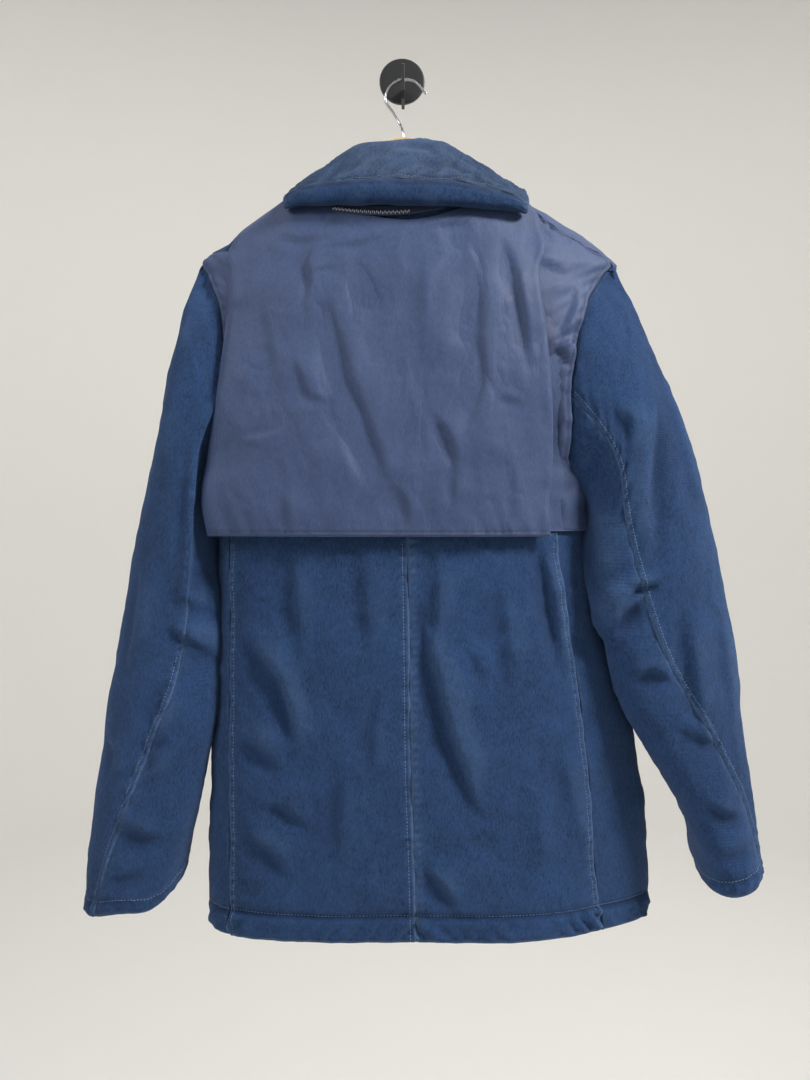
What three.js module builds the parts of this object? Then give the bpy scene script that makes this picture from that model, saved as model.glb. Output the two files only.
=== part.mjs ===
// A padded car coat on a wooden hanger, hung by the hanger's wire on a round wall hook.
// Millimetres, +Z up. The origin is the centre of the wall plate's back face, on the wall.
// The coat's back faces -Y, its front faces the wall at Y = 0, and +X is to the right of
// somebody who looks at the back. Every cloth panel is a closed wall: an outer grid of
// points on the coat's form, the same grid moved inwards by the cloth, and the cut edges.
import * as THREE from 'three';

// ---- Driving dimensions -------------------------------------------------------------
const BACK_CLOTH = 6;        // wadded twill with its inner cloth
const FRONT_CLOTH = 5;
const SLEEVE_CLOTH = 5;
const COLLAR_CLOTH = 4;
const SHELL_CLOTH = 1.4;     // the plain nylon of the cape and its under-layers
const SEAM_GAP = 0.3;        // clear distance between two pieces that are sewn together
const ARMHOLE_GAP = 0.45;    // the same where a sleeve turns away from the body

const HEM_Z = -905;
const YOKE_SEAM_Z = -332;    // where the front yokes meet the twill fronts
const CAPE_HEM_Z = -505;
const UNDERLAYER_HEM_Z = -499;

// Heights of the neck seam, and how far above it the collar begins.
const NECK = { back: -181, side: -138, corner: -140, front: -236, gap: 0.8 };
const ARMHOLE = { middle: -321, reach: 104 };           // centre height and half height

// Cross-sections of the body from the hem up. A seam point is where the back panel ends:
// the side seam up to the armhole, then the armhole, then the shoulder seam. An edge point
// is the widest point of the section. turn is how far the front corner lies inside the
// edge, and ease how far the back has already come round halfway to its seam.
const BODY_COLUMNS = ['z', 'centreX', 'backY', 'frontY', 'leftSeamX', 'leftSeamY', 'leftEdgeX',
  'leftEdgeY', 'rightSeamX', 'rightSeamY', 'rightEdgeX', 'rightEdgeY', 'turn', 'ease'];
const BODY = [
  [-905, 14.6, -115, -14, -175, -96, -198, -64, 205, -86, 260, -42, 22, 0.05],
  [-830, 12.7, -115, -13, -173, -97, -199, -64, 195, -90, 258, -46, 22, 0.05],
  [-740, 9.5, -115, -13, -174, -96, -197, -64, 188, -92, 249, -48, 22, 0.05],
  [-660, 8.5, -114, -13, -174, -94, -191, -62, 179, -93, 226, -52, 22, 0.05],
  [-590, 7.6, -113, -13, -174, -92, -189, -60, 166, -94, 205, -55, 20, 0.05],
  [-505, 6.2, -111, -13, -175, -88, -188, -58, 158, -92, 187, -57, 18, 0.06],
  [-425, 5.2, -110, -13, -176, -80, -187, -56, 169, -84, 183, -56, 18, 0.06],
  [-340, 4.5, -108, -14, -178, -84, -194, -52, 173, -88, 190, -54, 24, 0.08],
  [-270, 4, -104, -18, -187, -75, -201, -48, 188, -75, 210, -50, 20, 0.12],
  [-230, 3.5, -99, -22, -203, -57, -208.5, -44, 211, -57, 224, -46, 8, 0.17],
  [-217, 3.3, -97, -24, -208, -53, -209.5, -43, 219, -53, 227, -45, 3, 0.2],
  [-185, 3.3, -89, -29, -165.5, -56, -166.5, -43, 162, -61, 190, -45, 3, 0.22],
  [-152, 3.3, -78, -33, -117.5, -56, -118.5, -43, 121, -61, 133, -45, 3, 0.25],
  [-144, 3.3, -74, -34, -98.5, -55, -99.5, -43, 106, -59, 116, -45, 3, 0.25],
  [-138, 3.3, -70, -35, -83.5, -53, -84.5, -43, 90, -57, 98, -44, 3, 0.25],
];
// Heights of the rows of points: below the armholes, at the armholes, and up the shoulder
// seams. Pieces that are sewn together share them.
const LOW_HEIGHTS = [-905, -868, -830, -785, -740, -700, -660, -625, -590, -548, -505, -470, -444];
const ARMHOLE_HEIGHTS = [-425, -417, -404, -384, -358, -332, -304, -277, -253, -235, -223, -217];
const SHOULDER_HEIGHTS = [-203, -187, -170, -154];
const SLEEVE_SEAM_Z = -358;  // where both seams of a sleeve meet the armhole

// Rings of the sleeves from the armhole to the cuff. outer and inner are the two sides
// of a ring, near and far its reach away from the wall and towards it, and drop how much
// lower its near side hangs than its far side.
const SLEEVE_COLUMNS = ['outerX', 'outerZ', 'innerX', 'innerZ', 'middleY', 'nearY', 'farY', 'drop'];
const LEFT_SLEEVE = [
  [-209, -217, -183, -425, -50, -86, -22, 0],
  [-221, -254, -192, -446, -56, -98, -18, 0],
  [-234, -302, -196, -468, -58, -103, -16, 0],
  [-249, -373, -197, -505, -60, -104, -15, 0],
  [-262, -447, -197, -550, -60, -104, -14, 2],
  [-278, -529, -197, -610, -60, -104, -14, 4],
  [-293, -612, -199, -670, -60, -104, -15, 6],
  [-307, -706, -206, -716, -62, -103, -18, 8],
  [-319, -795, -215, -788, -63, -101, -24, 10],
  [-328, -886, -225, -846, -64, -98, -29, 12],
];
const RIGHT_SLEEVE = [
  [224, -217, 178, -425, -52, -88, -22, 0],
  [240, -256, 188, -448, -57, -100, -18, 0],
  [257, -305, 192, -470, -60, -107, -16, 0],
  [281, -369, 193, -497, -62, -110, -14, 0],
  [303, -435, 197, -532, -63, -112, -13, 0],
  [318, -497, 208, -575, -64, -113, -13, 0],
  [331, -560, 222, -620, -64, -113, -12, 2],
  [343, -633, 236, -672, -64, -112, -12, 4],
  [350, -701, 258, -722, -64, -111, -12, 6],
  [360, -769, 289, -779, -62, -110, -12, 9],
  [370, -839, 311, -858, -60, -110, -12, 12],
];
const SLEEVE_BLEND = 0.3;    // share of the sleeve in which its form leaves the armhole's
const SLEEVE_ROUNDNESS = 2.3;
// The back seam of each sleeve, in degrees round the ring from its outer side, at the
// elbow and the cuff.
const BACK_SEAM = { left: [100, 50], right: [96, 36] };

// The collar, by the angle round the neck from the centre back. Each row gives the crest
// where the collar turns over, and the free lower edge of the fall.
const COLLAR_COLUMNS = ['angle', 'crestX', 'crestY', 'crestZ', 'fallX', 'fallY', 'fallZ'];
const COLLAR = [
  [-159, -52, -23, -164, -84, -7, -268],
  [-138, -68, -23, -141, -105, -8, -232],
  [-120, -80, -25, -129, -119, -11, -196],
  [-106, -84, -33, -122, -121, -22, -160],
  [-90, -84, -45, -118, -119, -46, -140],
  [-70, -77, -58, -112, -123, -75, -157],
  [-50, -60, -66, -104, -103, -87, -148],
  [-25, -30, -70, -97, -55, -97, -144.5],
  [0, 3, -71, -94, 5, -102, -145],
  [25, 38, -70, -95, 60, -98, -147],
  [50, 71, -66, -107, 105, -89, -153],
  [70, 87, -58, -116, 132, -79, -163],
  [90, 93, -46, -119, 127, -47, -138.5],
  [106, 93, -33, -122, 128, -22, -160],
  [120, 88, -25, -129, 127, -11, -196],
  [138, 76, -23, -141, 113, -8, -232],
  [159, 60, -23, -164, 90, -7, -268],
];
// How the collar turns over at its crest: how far out from the crest and below it the
// cloth passes on the neck side and on the outer side.
const CREST = { neckSide: 4, neckDrop: 9, outSide: 9, outDrop: 4, fallBow: 5 };
// The stuffed pouch under the fall: its middle line and half sizes, from side to side.
const ROLL_COLUMNS = ['x', 'y', 'z', 'high', 'deep'];
const ROLL = [
  [-121, -79, -165, 4, 4],
  [-112, -85, -161, 8.5, 6],
  [-80, -92, -158.8, 11.5, 7.5],
  [-40, -98, -159, 12.7, 8.6],
  [5, -99.5, -159.8, 13.3, 8.4],
  [50, -98, -160.8, 12.3, 8.6],
  [90, -92, -164, 9.5, 7.5],
  [118, -87, -167.5, 7, 6],
  [129, -81, -171, 4, 4],
];
const ZIP_TAPE = { from: -0.87, to: 0.48, top: -171, ends: -174, belly: 8.5, cloth: 1.2 };

const CAPE = { clearance: 4.6, hemClearance: 11 };
// The cape's two folded side edges, in stations from the centre back, and how far its left
// edge hangs out past the side seam and stands off the armhole.
const CAPE_FOLD_COLUMNS = ['z', 'left', 'right', 'leftFlare', 'leftLift'];
const CAPE_FOLDS = [
  [-505, 1.97, 1.85, 12, 4],
  [-470, 1.97, 1.74, 16, 8],
  [-425, 1.97, 1.66, 8, 12],
  [-350, 1.97, 1.6, 0, 9],
  [-290, 1.86, 1.45, 0, 3],
  [-240, 1.68, 1.22, 0, 1],
  [-217, 1.62, 1.18, 0, 0],
  [-203, 1.7, 1.32, 0, 0],
  [-187, 1.92, 1.62, 0, 0],
  [-170, 1.97, 1.93, 0, 0],
  [-138, 1.97, 1.97, 0, 0],
];
const FLY = { halfWidth: 34, cloth: 5, top: -262 };

const HANGER = { y: -43.5, thick: 9, tall: 24, tipTall: 15 };
// The top line of the wooden arms, which run just under the shoulder seams.
const HANGER_LINE_COLUMNS = ['x', 'z'];
const HANGER_LINE = [
  [-190, -213],
  [-165, -195],
  [-118, -163],
  [-84, -149],
  [-45, -110],
  [-18, -86.5],
  [2, -80],
  [22, -86.5],
  [52, -108],
  [98, -151],
  [133, -163],
  [190, -196],
  [203, -207],
];
const HANGER_CROWN_X = 2;
const WIRE = { radius: 1.5, y: -33, sides: 8 };
const PLATE = { radius: 25, thick: 5, edge: 1.5 };
const PRONG = { x: 1.2, wide: 3.4, reach: 42, top: 1, bottom: -35, seat: -15.3 };

// ---- Materials ----------------------------------------------------------------------
const twill = new THREE.MeshStandardMaterial({ color: 0x30486c, roughness: 0.92 });
const nylon = new THREE.MeshStandardMaterial({ color: 0x48536f, roughness: 0.7 });
const tape = new THREE.MeshStandardMaterial({ color: 0x2b3a57, roughness: 0.85 });
const wood = new THREE.MeshStandardMaterial({ color: 0xd9b98f, roughness: 0.55 });
const steel = new THREE.MeshStandardMaterial({ color: 0xc8ccd0, roughness: 0.25, metalness: 1 });
const black = new THREE.MeshStandardMaterial({ color: 0x26282c, roughness: 0.6 });

// ---- Tables and numbers -------------------------------------------------------------
const mix = THREE.MathUtils.lerp;
const clamp = THREE.MathUtils.clamp;
const smooth = (x) => THREE.MathUtils.smoothstep(x, 0, 1);

// A smooth value of one column of a table at the place x along its first column.
function slopeAt(table, i, c, keyOf) {
  const a = Math.max(i - 1, 0);
  const b = Math.min(i + 1, table.length - 1);
  return (table[b][c] - table[a][c]) / (keyOf(b) - keyOf(a));
}

function valueAt(table, c, x, keyOf) {
  const rising = keyOf(1) > keyOf(0);
  let i = 0;
  while (i < table.length - 2 && (rising ? keyOf(i + 1) < x : keyOf(i + 1) > x)) {
    i += 1;
  }
  const span = keyOf(i + 1) - keyOf(i);
  const f = clamp((x - keyOf(i)) / span, 0, 1);
  const m0 = slopeAt(table, i, c, keyOf) * span;
  const m1 = slopeAt(table, i + 1, c, keyOf) * span;
  const f2 = f * f;
  const f3 = f2 * f;
  return (2 * f3 - 3 * f2 + 1) * table[i][c] + (f3 - 2 * f2 + f) * m0
    + (3 * f2 - 2 * f3) * table[i + 1][c] + (f3 - f2) * m1;
}

function rowAt(table, columns, x, keyOf = (i) => table[i][0]) {
  const row = {};
  columns.forEach((name, c) => {
    row[name] = valueAt(table, c, x, keyOf);
  });
  return row;
}

// ---- The body's form ----------------------------------------------------------------
// Twelve stations round the body: 0 centre back, 2 right seam, 3 right edge, 4 right front
// corner, 6 centre front, 8 left front corner, 9 left edge and 10 left seam.
const STATIONS = 12;
const sections = new Map();

function bodySection(z) {
  const key = Math.round(z * 100);
  if (sections.has(key)) {
    return sections.get(key);
  }
  const s = rowAt(BODY, BODY_COLUMNS, z);
  const cornerY = (edgeY) => mix(s.frontY, edgeY, 0.2);
  const half = (seamX, seamY) => [mix(s.centreX, seamX, 0.56), mix(s.backY, seamY, s.ease)];
  const points = [
    [s.centreX, s.backY], half(s.rightSeamX, s.rightSeamY),
    [s.rightSeamX, s.rightSeamY], [s.rightEdgeX, s.rightEdgeY],
    [s.rightEdgeX - s.turn, cornerY(s.rightEdgeY)], [mix(s.centreX, s.rightEdgeX, 0.5), s.frontY],
    [s.centreX, s.frontY], [mix(s.centreX, s.leftEdgeX, 0.5), s.frontY],
    [s.leftEdgeX + s.turn, cornerY(s.leftEdgeY)], [s.leftEdgeX, s.leftEdgeY],
    [s.leftSeamX, s.leftSeamY], half(s.leftSeamX, s.leftSeamY),
  ].map(([x, y]) => new THREE.Vector3(x, y, 0));
  const curve = new THREE.CatmullRomCurve3(points, true, 'centripetal');
  sections.set(key, curve);
  return curve;
}

function bodyPoint(t, z) {
  const p = bodySection(z).getPoint((((t % STATIONS) + STATIONS) % STATIONS) / STATIONS);
  return new THREE.Vector3(p.x, p.y, z);
}

// The outward normal of any surface given as a function of two numbers.
function normalOf(surface, a, b, da, db) {
  const alongA = surface(a + da, b).sub(surface(a - da, b));
  const alongB = surface(a, b + db).sub(surface(a, b - db));
  return alongA.cross(alongB).normalize();
}

const bodyNormal = (t, z) => normalOf(bodyPoint, t, z, 0.03, 2);

// The neck seam: its height at a station, lowest at the two centres.
function neckHeight(t) {
  const side = Math.min(Math.abs(t), STATIONS - Math.abs(t));
  if (side <= 2) {
    return mix(NECK.back, NECK.side, smooth((side / 2) ** 0.9));
  }
  if (side <= 4) {
    return mix(NECK.side, NECK.corner, (side - 2) / 2);
  }
  return mix(NECK.corner, NECK.front, ((side - 4) / 2) ** 2.4);
}

// The armhole as a closed line on the body, by an angle from its top towards the back.
// Its back follows the back panel's edge, its front swings round to the front corner.
function armholeSpot(side, degrees) {
  const angle = THREE.MathUtils.degToRad(degrees);
  const z = ARMHOLE.middle + ARMHOLE.reach * Math.cos(angle);
  const past = clamp(Math.min((degrees - 180) / 75, (360 - degrees) / 60), 0, 1);
  const round = degrees > 180 ? 2 * smooth(past) : 0;
  return { t: side === 'right' ? 2 + round : 10 - round, z };
}

function armholeAngle(z, onFront) {
  const back = THREE.MathUtils.radToDeg(Math.acos(clamp((z - ARMHOLE.middle) / ARMHOLE.reach, -1, 1)));
  return onFront ? 360 - back : back;
}

// The station where the front begins at a height: the side seam, the armhole or the
// shoulder seam.
function frontStart(side, z) {
  const c = (z - ARMHOLE.middle) / ARMHOLE.reach;
  if (Math.abs(c) >= 1) {
    return side === 'right' ? 2 : 10;
  }
  return armholeSpot(side, armholeAngle(z, true)).t;
}

// ---- Closed walls -------------------------------------------------------------------
// rows is a grid of { point, normal }. The wall lies inside the points.
function wallGeometry(rows, cloth) {
  const high = rows.length;
  const wide = rows[0].length;
  const positions = [];
  rows.forEach((row) => row.forEach(({ point }) => positions.push(point.x, point.y, point.z)));
  rows.forEach((row) => row.forEach(({ point, normal }) => {
    const p = point.clone().addScaledVector(normal, -cloth);
    positions.push(p.x, p.y, p.z);
  }));
  const at = (layer, i, j) => layer * high * wide + i * wide + j;
  const index = [];
  const quad = (a, b, c, d) => index.push(a, b, c, a, c, d);
  for (let i = 0; i < high - 1; i += 1) {
    for (let j = 0; j < wide - 1; j += 1) {
      quad(at(0, i, j), at(0, i, j + 1), at(0, i + 1, j + 1), at(0, i + 1, j));
      quad(at(1, i, j), at(1, i + 1, j), at(1, i + 1, j + 1), at(1, i, j + 1));
    }
  }
  // Cut edges. Each is split along the same diagonal, so that two sewn edges stay apart.
  for (let j = 0; j < wide - 1; j += 1) {
    quad(at(0, 0, j), at(1, 0, j), at(1, 0, j + 1), at(0, 0, j + 1));
    quad(at(0, high - 1, j), at(0, high - 1, j + 1), at(1, high - 1, j + 1), at(1, high - 1, j));
  }
  for (let i = 0; i < high - 1; i += 1) {
    quad(at(0, i, 0), at(0, i + 1, 0), at(1, i + 1, 0), at(1, i, 0));
    quad(at(0, i, wide - 1), at(1, i, wide - 1), at(1, i + 1, wide - 1), at(0, i + 1, wide - 1));
  }
  return outwardGeometry(positions, index);
}

function signedVolume(positions, index) {
  const corner = (i) => new THREE.Vector3(...positions.slice(index[i] * 3, index[i] * 3 + 3));
  let volume = 0;
  for (let i = 0; i < index.length; i += 3) {
    volume += corner(i).dot(corner(i + 1).cross(corner(i + 2))) / 6;
  }
  return volume;
}

function outwardGeometry(positions, index) {
  if (signedVolume(positions, index) < 0) {
    for (let i = 0; i < index.length; i += 3) {
      [index[i], index[i + 1]] = [index[i + 1], index[i]];
    }
  }
  const geometry = new THREE.BufferGeometry();
  geometry.setAttribute('position', new THREE.Float32BufferAttribute(positions, 3));
  geometry.setIndex(index);
  return geometry;
}

// A grid of points and outward normals from a surface function that returns both.
function grid(down, across, spot) {
  return down.map((v, i) => across.map((u, j) => spot(u, v, i, j)));
}

const steps = (count) => Array.from({ length: count + 1 }, (_, i) => i / count);

// Draws the first and last columns of a grid in by half a seam gap.
function trimSides(rows) {
  rows.forEach((row) => {
    const last = row.length - 1;
    [[0, 1], [last, last - 1]].forEach(([edge, next]) => {
      const inward = row[next].point.clone().sub(row[edge].point).normalize();
      row[edge].point.addScaledVector(inward, SEAM_GAP / 2);
    });
  });
  return rows;
}

function trimEnds(rows, firstToo, lastToo) {
  const pull = (edge, next) => rows[edge].forEach((cell, j) => {
    const inward = rows[next][j].point.clone().sub(cell.point).normalize();
    cell.point.addScaledVector(inward, SEAM_GAP / 2);
  });
  if (firstToo) {
    pull(0, 1);
  }
  if (lastToo) {
    pull(rows.length - 1, rows.length - 2);
  }
  return rows;
}

function outward(normal, point, from) {
  return normal.dot(point.clone().sub(from)) < 0 ? normal.negate() : normal;
}

// A spot on the body, lifted off it by a clearance.
function bodySpot(t, z, lift = 0) {
  const point = bodyPoint(t, z);
  const inside = new THREE.Vector3(mix(point.x, 3, 0.5), -55, Math.min(z, -260));
  const normal = outward(bodyNormal(t, z), point, inside);
  point.addScaledVector(normal, lift);
  return { point, normal };
}

const group = new THREE.Group();

function add(name, geometry, material) {
  const mesh = new THREE.Mesh(geometry, material);
  mesh.name = name;
  group.add(mesh);
}

// ---- Back and front panels ----------------------------------------------------------
const BELOW_YOKE = [...LOW_HEIGHTS, ...ARMHOLE_HEIGHTS.filter((z) => z <= YOKE_SEAM_Z)];
const ABOVE_YOKE = [...ARMHOLE_HEIGHTS.filter((z) => z > YOKE_SEAM_Z), ...SHOULDER_HEIGHTS, NECK.side];
const shareAbove = (z) => (z - YOKE_SEAM_Z) / (NECK.side - YOKE_SEAM_Z);

function backPanel(side) {
  const shares = ABOVE_YOKE.map(shareAbove);
  const sign = side === 'right' ? 1 : -1;
  const low = grid(BELOW_YOKE, steps(8), (u, z) => bodySpot(sign * 2 * u, z));
  const high = grid(shares, steps(8), (u, v) => {
    const t = sign * 2 * u;
    return bodySpot(t, mix(YOKE_SEAM_Z, neckHeight(t), v));
  });
  return wallGeometry(trimSides([...low, ...high]), BACK_CLOTH);
}

function frontStation(side, u, z) {
  return mix(frontStart(side, z), 6, u);
}

function frontPanel(side) {
  const rows = grid(BELOW_YOKE, [0, 0.08, 0.17, 0.28, 0.4, 0.55, 0.7, 0.85, 1],
    (u, z) => bodySpot(frontStation(side, u, z), z));
  return wallGeometry(trimEnds(trimSides(rows), false, true), FRONT_CLOTH);
}

function frontYoke(side) {
  const shares = [0, ...ABOVE_YOKE.map(shareAbove)];
  const rows = grid(shares, [0, 0.08, 0.17, 0.28, 0.4, 0.55, 0.7, 0.85, 1], (u, v) => {
    const neckT = side === 'right' ? mix(2, 6, u) : mix(10, 6, u);
    const z = mix(YOKE_SEAM_Z, neckHeight(neckT), v);
    return bodySpot(frontStation(side, u, z), z);
  });
  return wallGeometry(trimEnds(trimSides(rows), true, false), FRONT_CLOTH);
}

function frontFly() {
  const rows = grid(steps(8), [-1, -0.5, 0, 0.5, 1], (u, v) => {
    const z = mix(HEM_Z, FLY.top, v);
    const middle = bodyPoint(6, z);
    const point = new THREE.Vector3(middle.x + u * FLY.halfWidth, middle.y, z);
    point.y += SEAM_GAP + FLY.cloth + 1;
    return { point, normal: new THREE.Vector3(0, 1, 0) };
  });
  return wallGeometry(rows, FLY.cloth);
}

for (const side of ['left', 'right']) {
  add(`back_${side}`, backPanel(side), twill);
  add(`front_${side}`, frontPanel(side), twill);
  add(`front_yoke_${side}`, frontYoke(side), nylon);
}
add('front_fly', frontFly(), twill);

// ---- The storm cape and its under-layers --------------------------------------------
function capeTop(t) {
  return neckHeight(t) - 5;
}

function capeSpot(u, v) {
  const foldsAt = (t) => rowAt(CAPE_FOLDS, CAPE_FOLD_COLUMNS, mix(CAPE_HEM_Z, capeTop(t), v));
  const near = foldsAt(mix(-1.85, 1.85, u));
  const folds = foldsAt(mix(-near.left, near.right, u));
  const t = mix(-folds.left, folds.right, u);
  const z = mix(CAPE_HEM_Z, capeTop(t), v);
  const lift = mix(CAPE.hemClearance, CAPE.clearance, smooth(v / 0.7));
  const spot = bodySpot(t, z, lift + folds.leftLift * (1 - u) ** 3);
  spot.point.x -= folds.leftFlare * (1 - u) ** 4;
  return spot;
}

function capeSheet() {
  const shares = [0, 0.09, 0.2, 0.32, 0.46, 0.6, 0.7, 0.76, 0.8, 0.84, 0.88, 0.92, 0.96, 1];
  const rows = grid(shares, steps(14), capeSpot);
  return wallGeometry(rows, SHELL_CLOTH);
}

// The nylon that shows beyond each fold of the cape lies flat on the back panel.
function underLayer(side) {
  const sign = side === 'right' ? 1 : -1;
  const pastSeam = side === 'right' ? 0.32 : 0.12;
  const top = side === 'right' ? [-203, -187, -174] : [-203];
  const heights = [UNDERLAYER_HEM_Z, -470, -444, ...ARMHOLE_HEIGHTS, ...top];
  const rows = grid(heights, [0, 0.25, 0.5, 0.75, 0.9, 1], (u, z) => {
    const folds = rowAt(CAPE_FOLDS, CAPE_FOLD_COLUMNS, z);
    const low = smooth((-430 - z) / 30);
    const past = u === 1 ? pastSeam * low : 0;
    const lift = SEAM_GAP + SHELL_CLOTH + mix(0.5, 1.8, low * u);
    return bodySpot(sign * mix(folds[side] - 0.22, 1.98 + past, u), z, lift);
  });
  return wallGeometry(rows, SHELL_CLOTH);
}

add('back_cape', capeSheet(), nylon);
add('cape_underlayer_left', underLayer('left'), nylon);
add('cape_underlayer_right', underLayer('right'), nylon);

// ---- Sleeves ------------------------------------------------------------------------
function ringPoint(table, s, degrees) {
  const ring = rowAt(table, SLEEVE_COLUMNS, s * (table.length - 1), (i) => i);
  const angle = THREE.MathUtils.degToRad(degrees);
  const power = 2 / SLEEVE_ROUNDNESS;
  const c = Math.sign(Math.cos(angle)) * Math.abs(Math.cos(angle)) ** power;
  const d = Math.sign(Math.sin(angle)) * Math.abs(Math.sin(angle)) ** power;
  const depth = d > 0 ? ring.middleY - ring.nearY : ring.farY - ring.middleY;
  return new THREE.Vector3(
    mix(ring.innerX, ring.outerX, (1 + c) / 2),
    ring.middleY - d * depth,
    mix(ring.innerZ, ring.outerZ, (1 + c) / 2) - d * ring.drop,
  );
}

function sleevePoint(side, s, degrees) {
  const table = side === 'right' ? RIGHT_SLEEVE : LEFT_SLEEVE;
  const turn = ((degrees % 360) + 360) % 360;
  const p = ringPoint(table, s, turn);
  if (s >= SLEEVE_BLEND) {
    return p;
  }
  const spot = armholeSpot(side, turn);
  const start = bodyPoint(spot.t, spot.z);
  const away = start.clone().sub(ringPoint(table, 0, turn));
  return p.addScaledVector(away, 1 - smooth(s / SLEEVE_BLEND));
}

function sleeveSpot(side, s, degrees) {
  const table = side === 'right' ? RIGHT_SLEEVE : LEFT_SLEEVE;
  const surface = (a, b) => sleevePoint(side, clamp(a, 0, 1), b);
  const point = sleevePoint(side, s, degrees);
  const ring = rowAt(table, SLEEVE_COLUMNS, s * (table.length - 1), (i) => i);
  const core = new THREE.Vector3((ring.innerX + ring.outerX) / 2, ring.middleY,
    (ring.innerZ + ring.outerZ) / 2);
  const normal = outward(normalOf(surface, s, degrees, 0.01, 3), point, core);
  if (s > 0) {
    return { point, normal };
  }
  // At the armhole the sleeve is sewn edge to edge with the body.
  const turn = ((degrees % 360) + 360) % 360;
  const spot = armholeSpot(side, turn);
  const seam = bodySpot(spot.t, spot.z);
  const leave = surface(0.03, degrees).sub(seam.point);
  leave.addScaledVector(seam.normal, -leave.dot(seam.normal)).normalize();
  seam.point.addScaledVector(leave, ARMHOLE_GAP);
  return seam;
}

// The back seam wanders from the armhole to the cuff; the front one stays where it starts.
function seamAngle(side, s) {
  const [elbow, cuff] = BACK_SEAM[side];
  const top = armholeAngle(SLEEVE_SEAM_Z, false);
  return s < 0.55 ? mix(top, elbow, s / 0.55) : mix(elbow, cuff, (s - 0.55) / 0.45);
}

const SLEEVE_ROWS = [0, 0.03, 0.07, 0.12, 0.18, 0.24, 0.31, 0.38, 0.45, 0.52, 0.6, 0.68, 0.76,
  0.84, 0.92, 1];

// The angles of a half sleeve's columns at the armhole, where they meet the body's rows.
function startAngles(under) {
  const heights = ARMHOLE_HEIGHTS.filter((z) => (under ? z <= SLEEVE_SEAM_Z : z >= SLEEVE_SEAM_Z));
  const toBack = heights.map((z) => armholeAngle(z, false));
  const toFront = heights.map((z) => armholeAngle(z, true));
  if (under) {
    return [...toBack.reverse(), ...toFront.slice(1)];
  }
  return [...toFront.map((a) => a - 360), ...toBack.reverse().slice(1)];
}

function sleeveHalf(side, under) {
  const starts = startAngles(under);
  const last = starts.length - 1;
  const rows = grid(SLEEVE_ROWS, starts, (start, s, i, j) => {
    const share = mix((start - starts[0]) / (starts[last] - starts[0]), j / last, smooth(s / 0.3));
    const seam = seamAngle(side, s);
    const from = under ? seam : starts[0];
    const to = under ? starts[last] : seam;
    return sleeveSpot(side, s, mix(from, to, share));
  });
  return wallGeometry(trimSides(rows), SLEEVE_CLOTH);
}

for (const side of ['left', 'right']) {
  add(`upper_sleeve_${side}`, sleeveHalf(side, false), twill);
  add(`under_sleeve_${side}`, sleeveHalf(side, true), twill);
}

// ---- Collar -------------------------------------------------------------------------
// The station of the neck seam at an angle round the neck.
function neckStation(angle) {
  const side = Math.abs(angle);
  let t = (side / 90) * 2;
  if (side > 90) {
    t = side < 110 ? 2 + (side - 90) / 10 : 4 + (side - 110) / 35;
  }
  return angle < 0 ? STATIONS - t : t;
}

// Where the collar is sewn to the neck: just above the body's edge and as thick as it.
function neckSeamSpot(angle) {
  const t = neckStation(angle);
  const { point, normal } = bodySpot(t, neckHeight(t));
  normal.setZ(0).normalize();
  point.addScaledVector(normal, -COLLAR_CLOTH);
  point.z += NECK.gap;
  return { point, normal };
}

// One column of the collar, from the neck seam over the crest to the fall's free edge.
function collarColumn(angle) {
  const row = rowAt(COLLAR, COLLAR_COLUMNS, angle);
  const seam = neckSeamSpot(angle);
  const crest = new THREE.Vector3(row.crestX, row.crestY, row.crestZ);
  const fall = new THREE.Vector3(row.fallX, row.fallY, row.fallZ);
  const away = new THREE.Vector3(fall.x - crest.x, fall.y - crest.y, 0).normalize();
  const tall = seam.point.distanceTo(crest);
  const size = clamp(tall / 40, 0.5, 1);
  const stand = seam.point.clone().lerp(crest, 0.35);
  const inner = crest.clone().addScaledVector(away, -CREST.neckSide * size);
  inner.z -= CREST.neckDrop * size;
  const outer = crest.clone().addScaledVector(away, CREST.outSide);
  outer.z -= CREST.outDrop;
  const shoulder = crest.clone().lerp(fall, 0.55).addScaledVector(away, CREST.fallBow);
  return new THREE.CatmullRomCurve3([seam.point, stand, inner, crest, outer, shoulder, fall],
    false, 'centripetal');
}

// Spots all over the shoulders, from which the collar's fall is kept clear.
const shoulderSpots = steps(96).flatMap((u) => {
  const t = mix(-6, 6, u);
  return steps(30).map((v) => bodySpot(t, mix(-270, neckHeight(t), v)));
});

// How far a point must move along a direction to be clear of the shoulders.
function shortfall(point, direction, clearance) {
  let nearest = shoulderSpots[0];
  let least = Infinity;
  shoulderSpots.forEach((spot) => {
    const far = spot.point.distanceToSquared(point);
    if (far < least) {
      least = far;
      nearest = spot;
    }
  });
  const height = point.clone().sub(nearest.point).dot(nearest.normal);
  return Math.max(clearance - height, 0) / Math.max(direction.dot(nearest.normal), 0.5);
}

// The collar's columns meet the columns of the panels at the neck seam.
const COLLAR_SIDE_ANGLES = [22.5, 45, 67.5, 79, 90, 96.8, 106, 117, 138, 159];
const COLLAR_ANGLES = [...COLLAR_SIDE_ANGLES.map((a) => -a).reverse(), 0, ...COLLAR_SIDE_ANGLES];
const COLLAR_END = 159;

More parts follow.
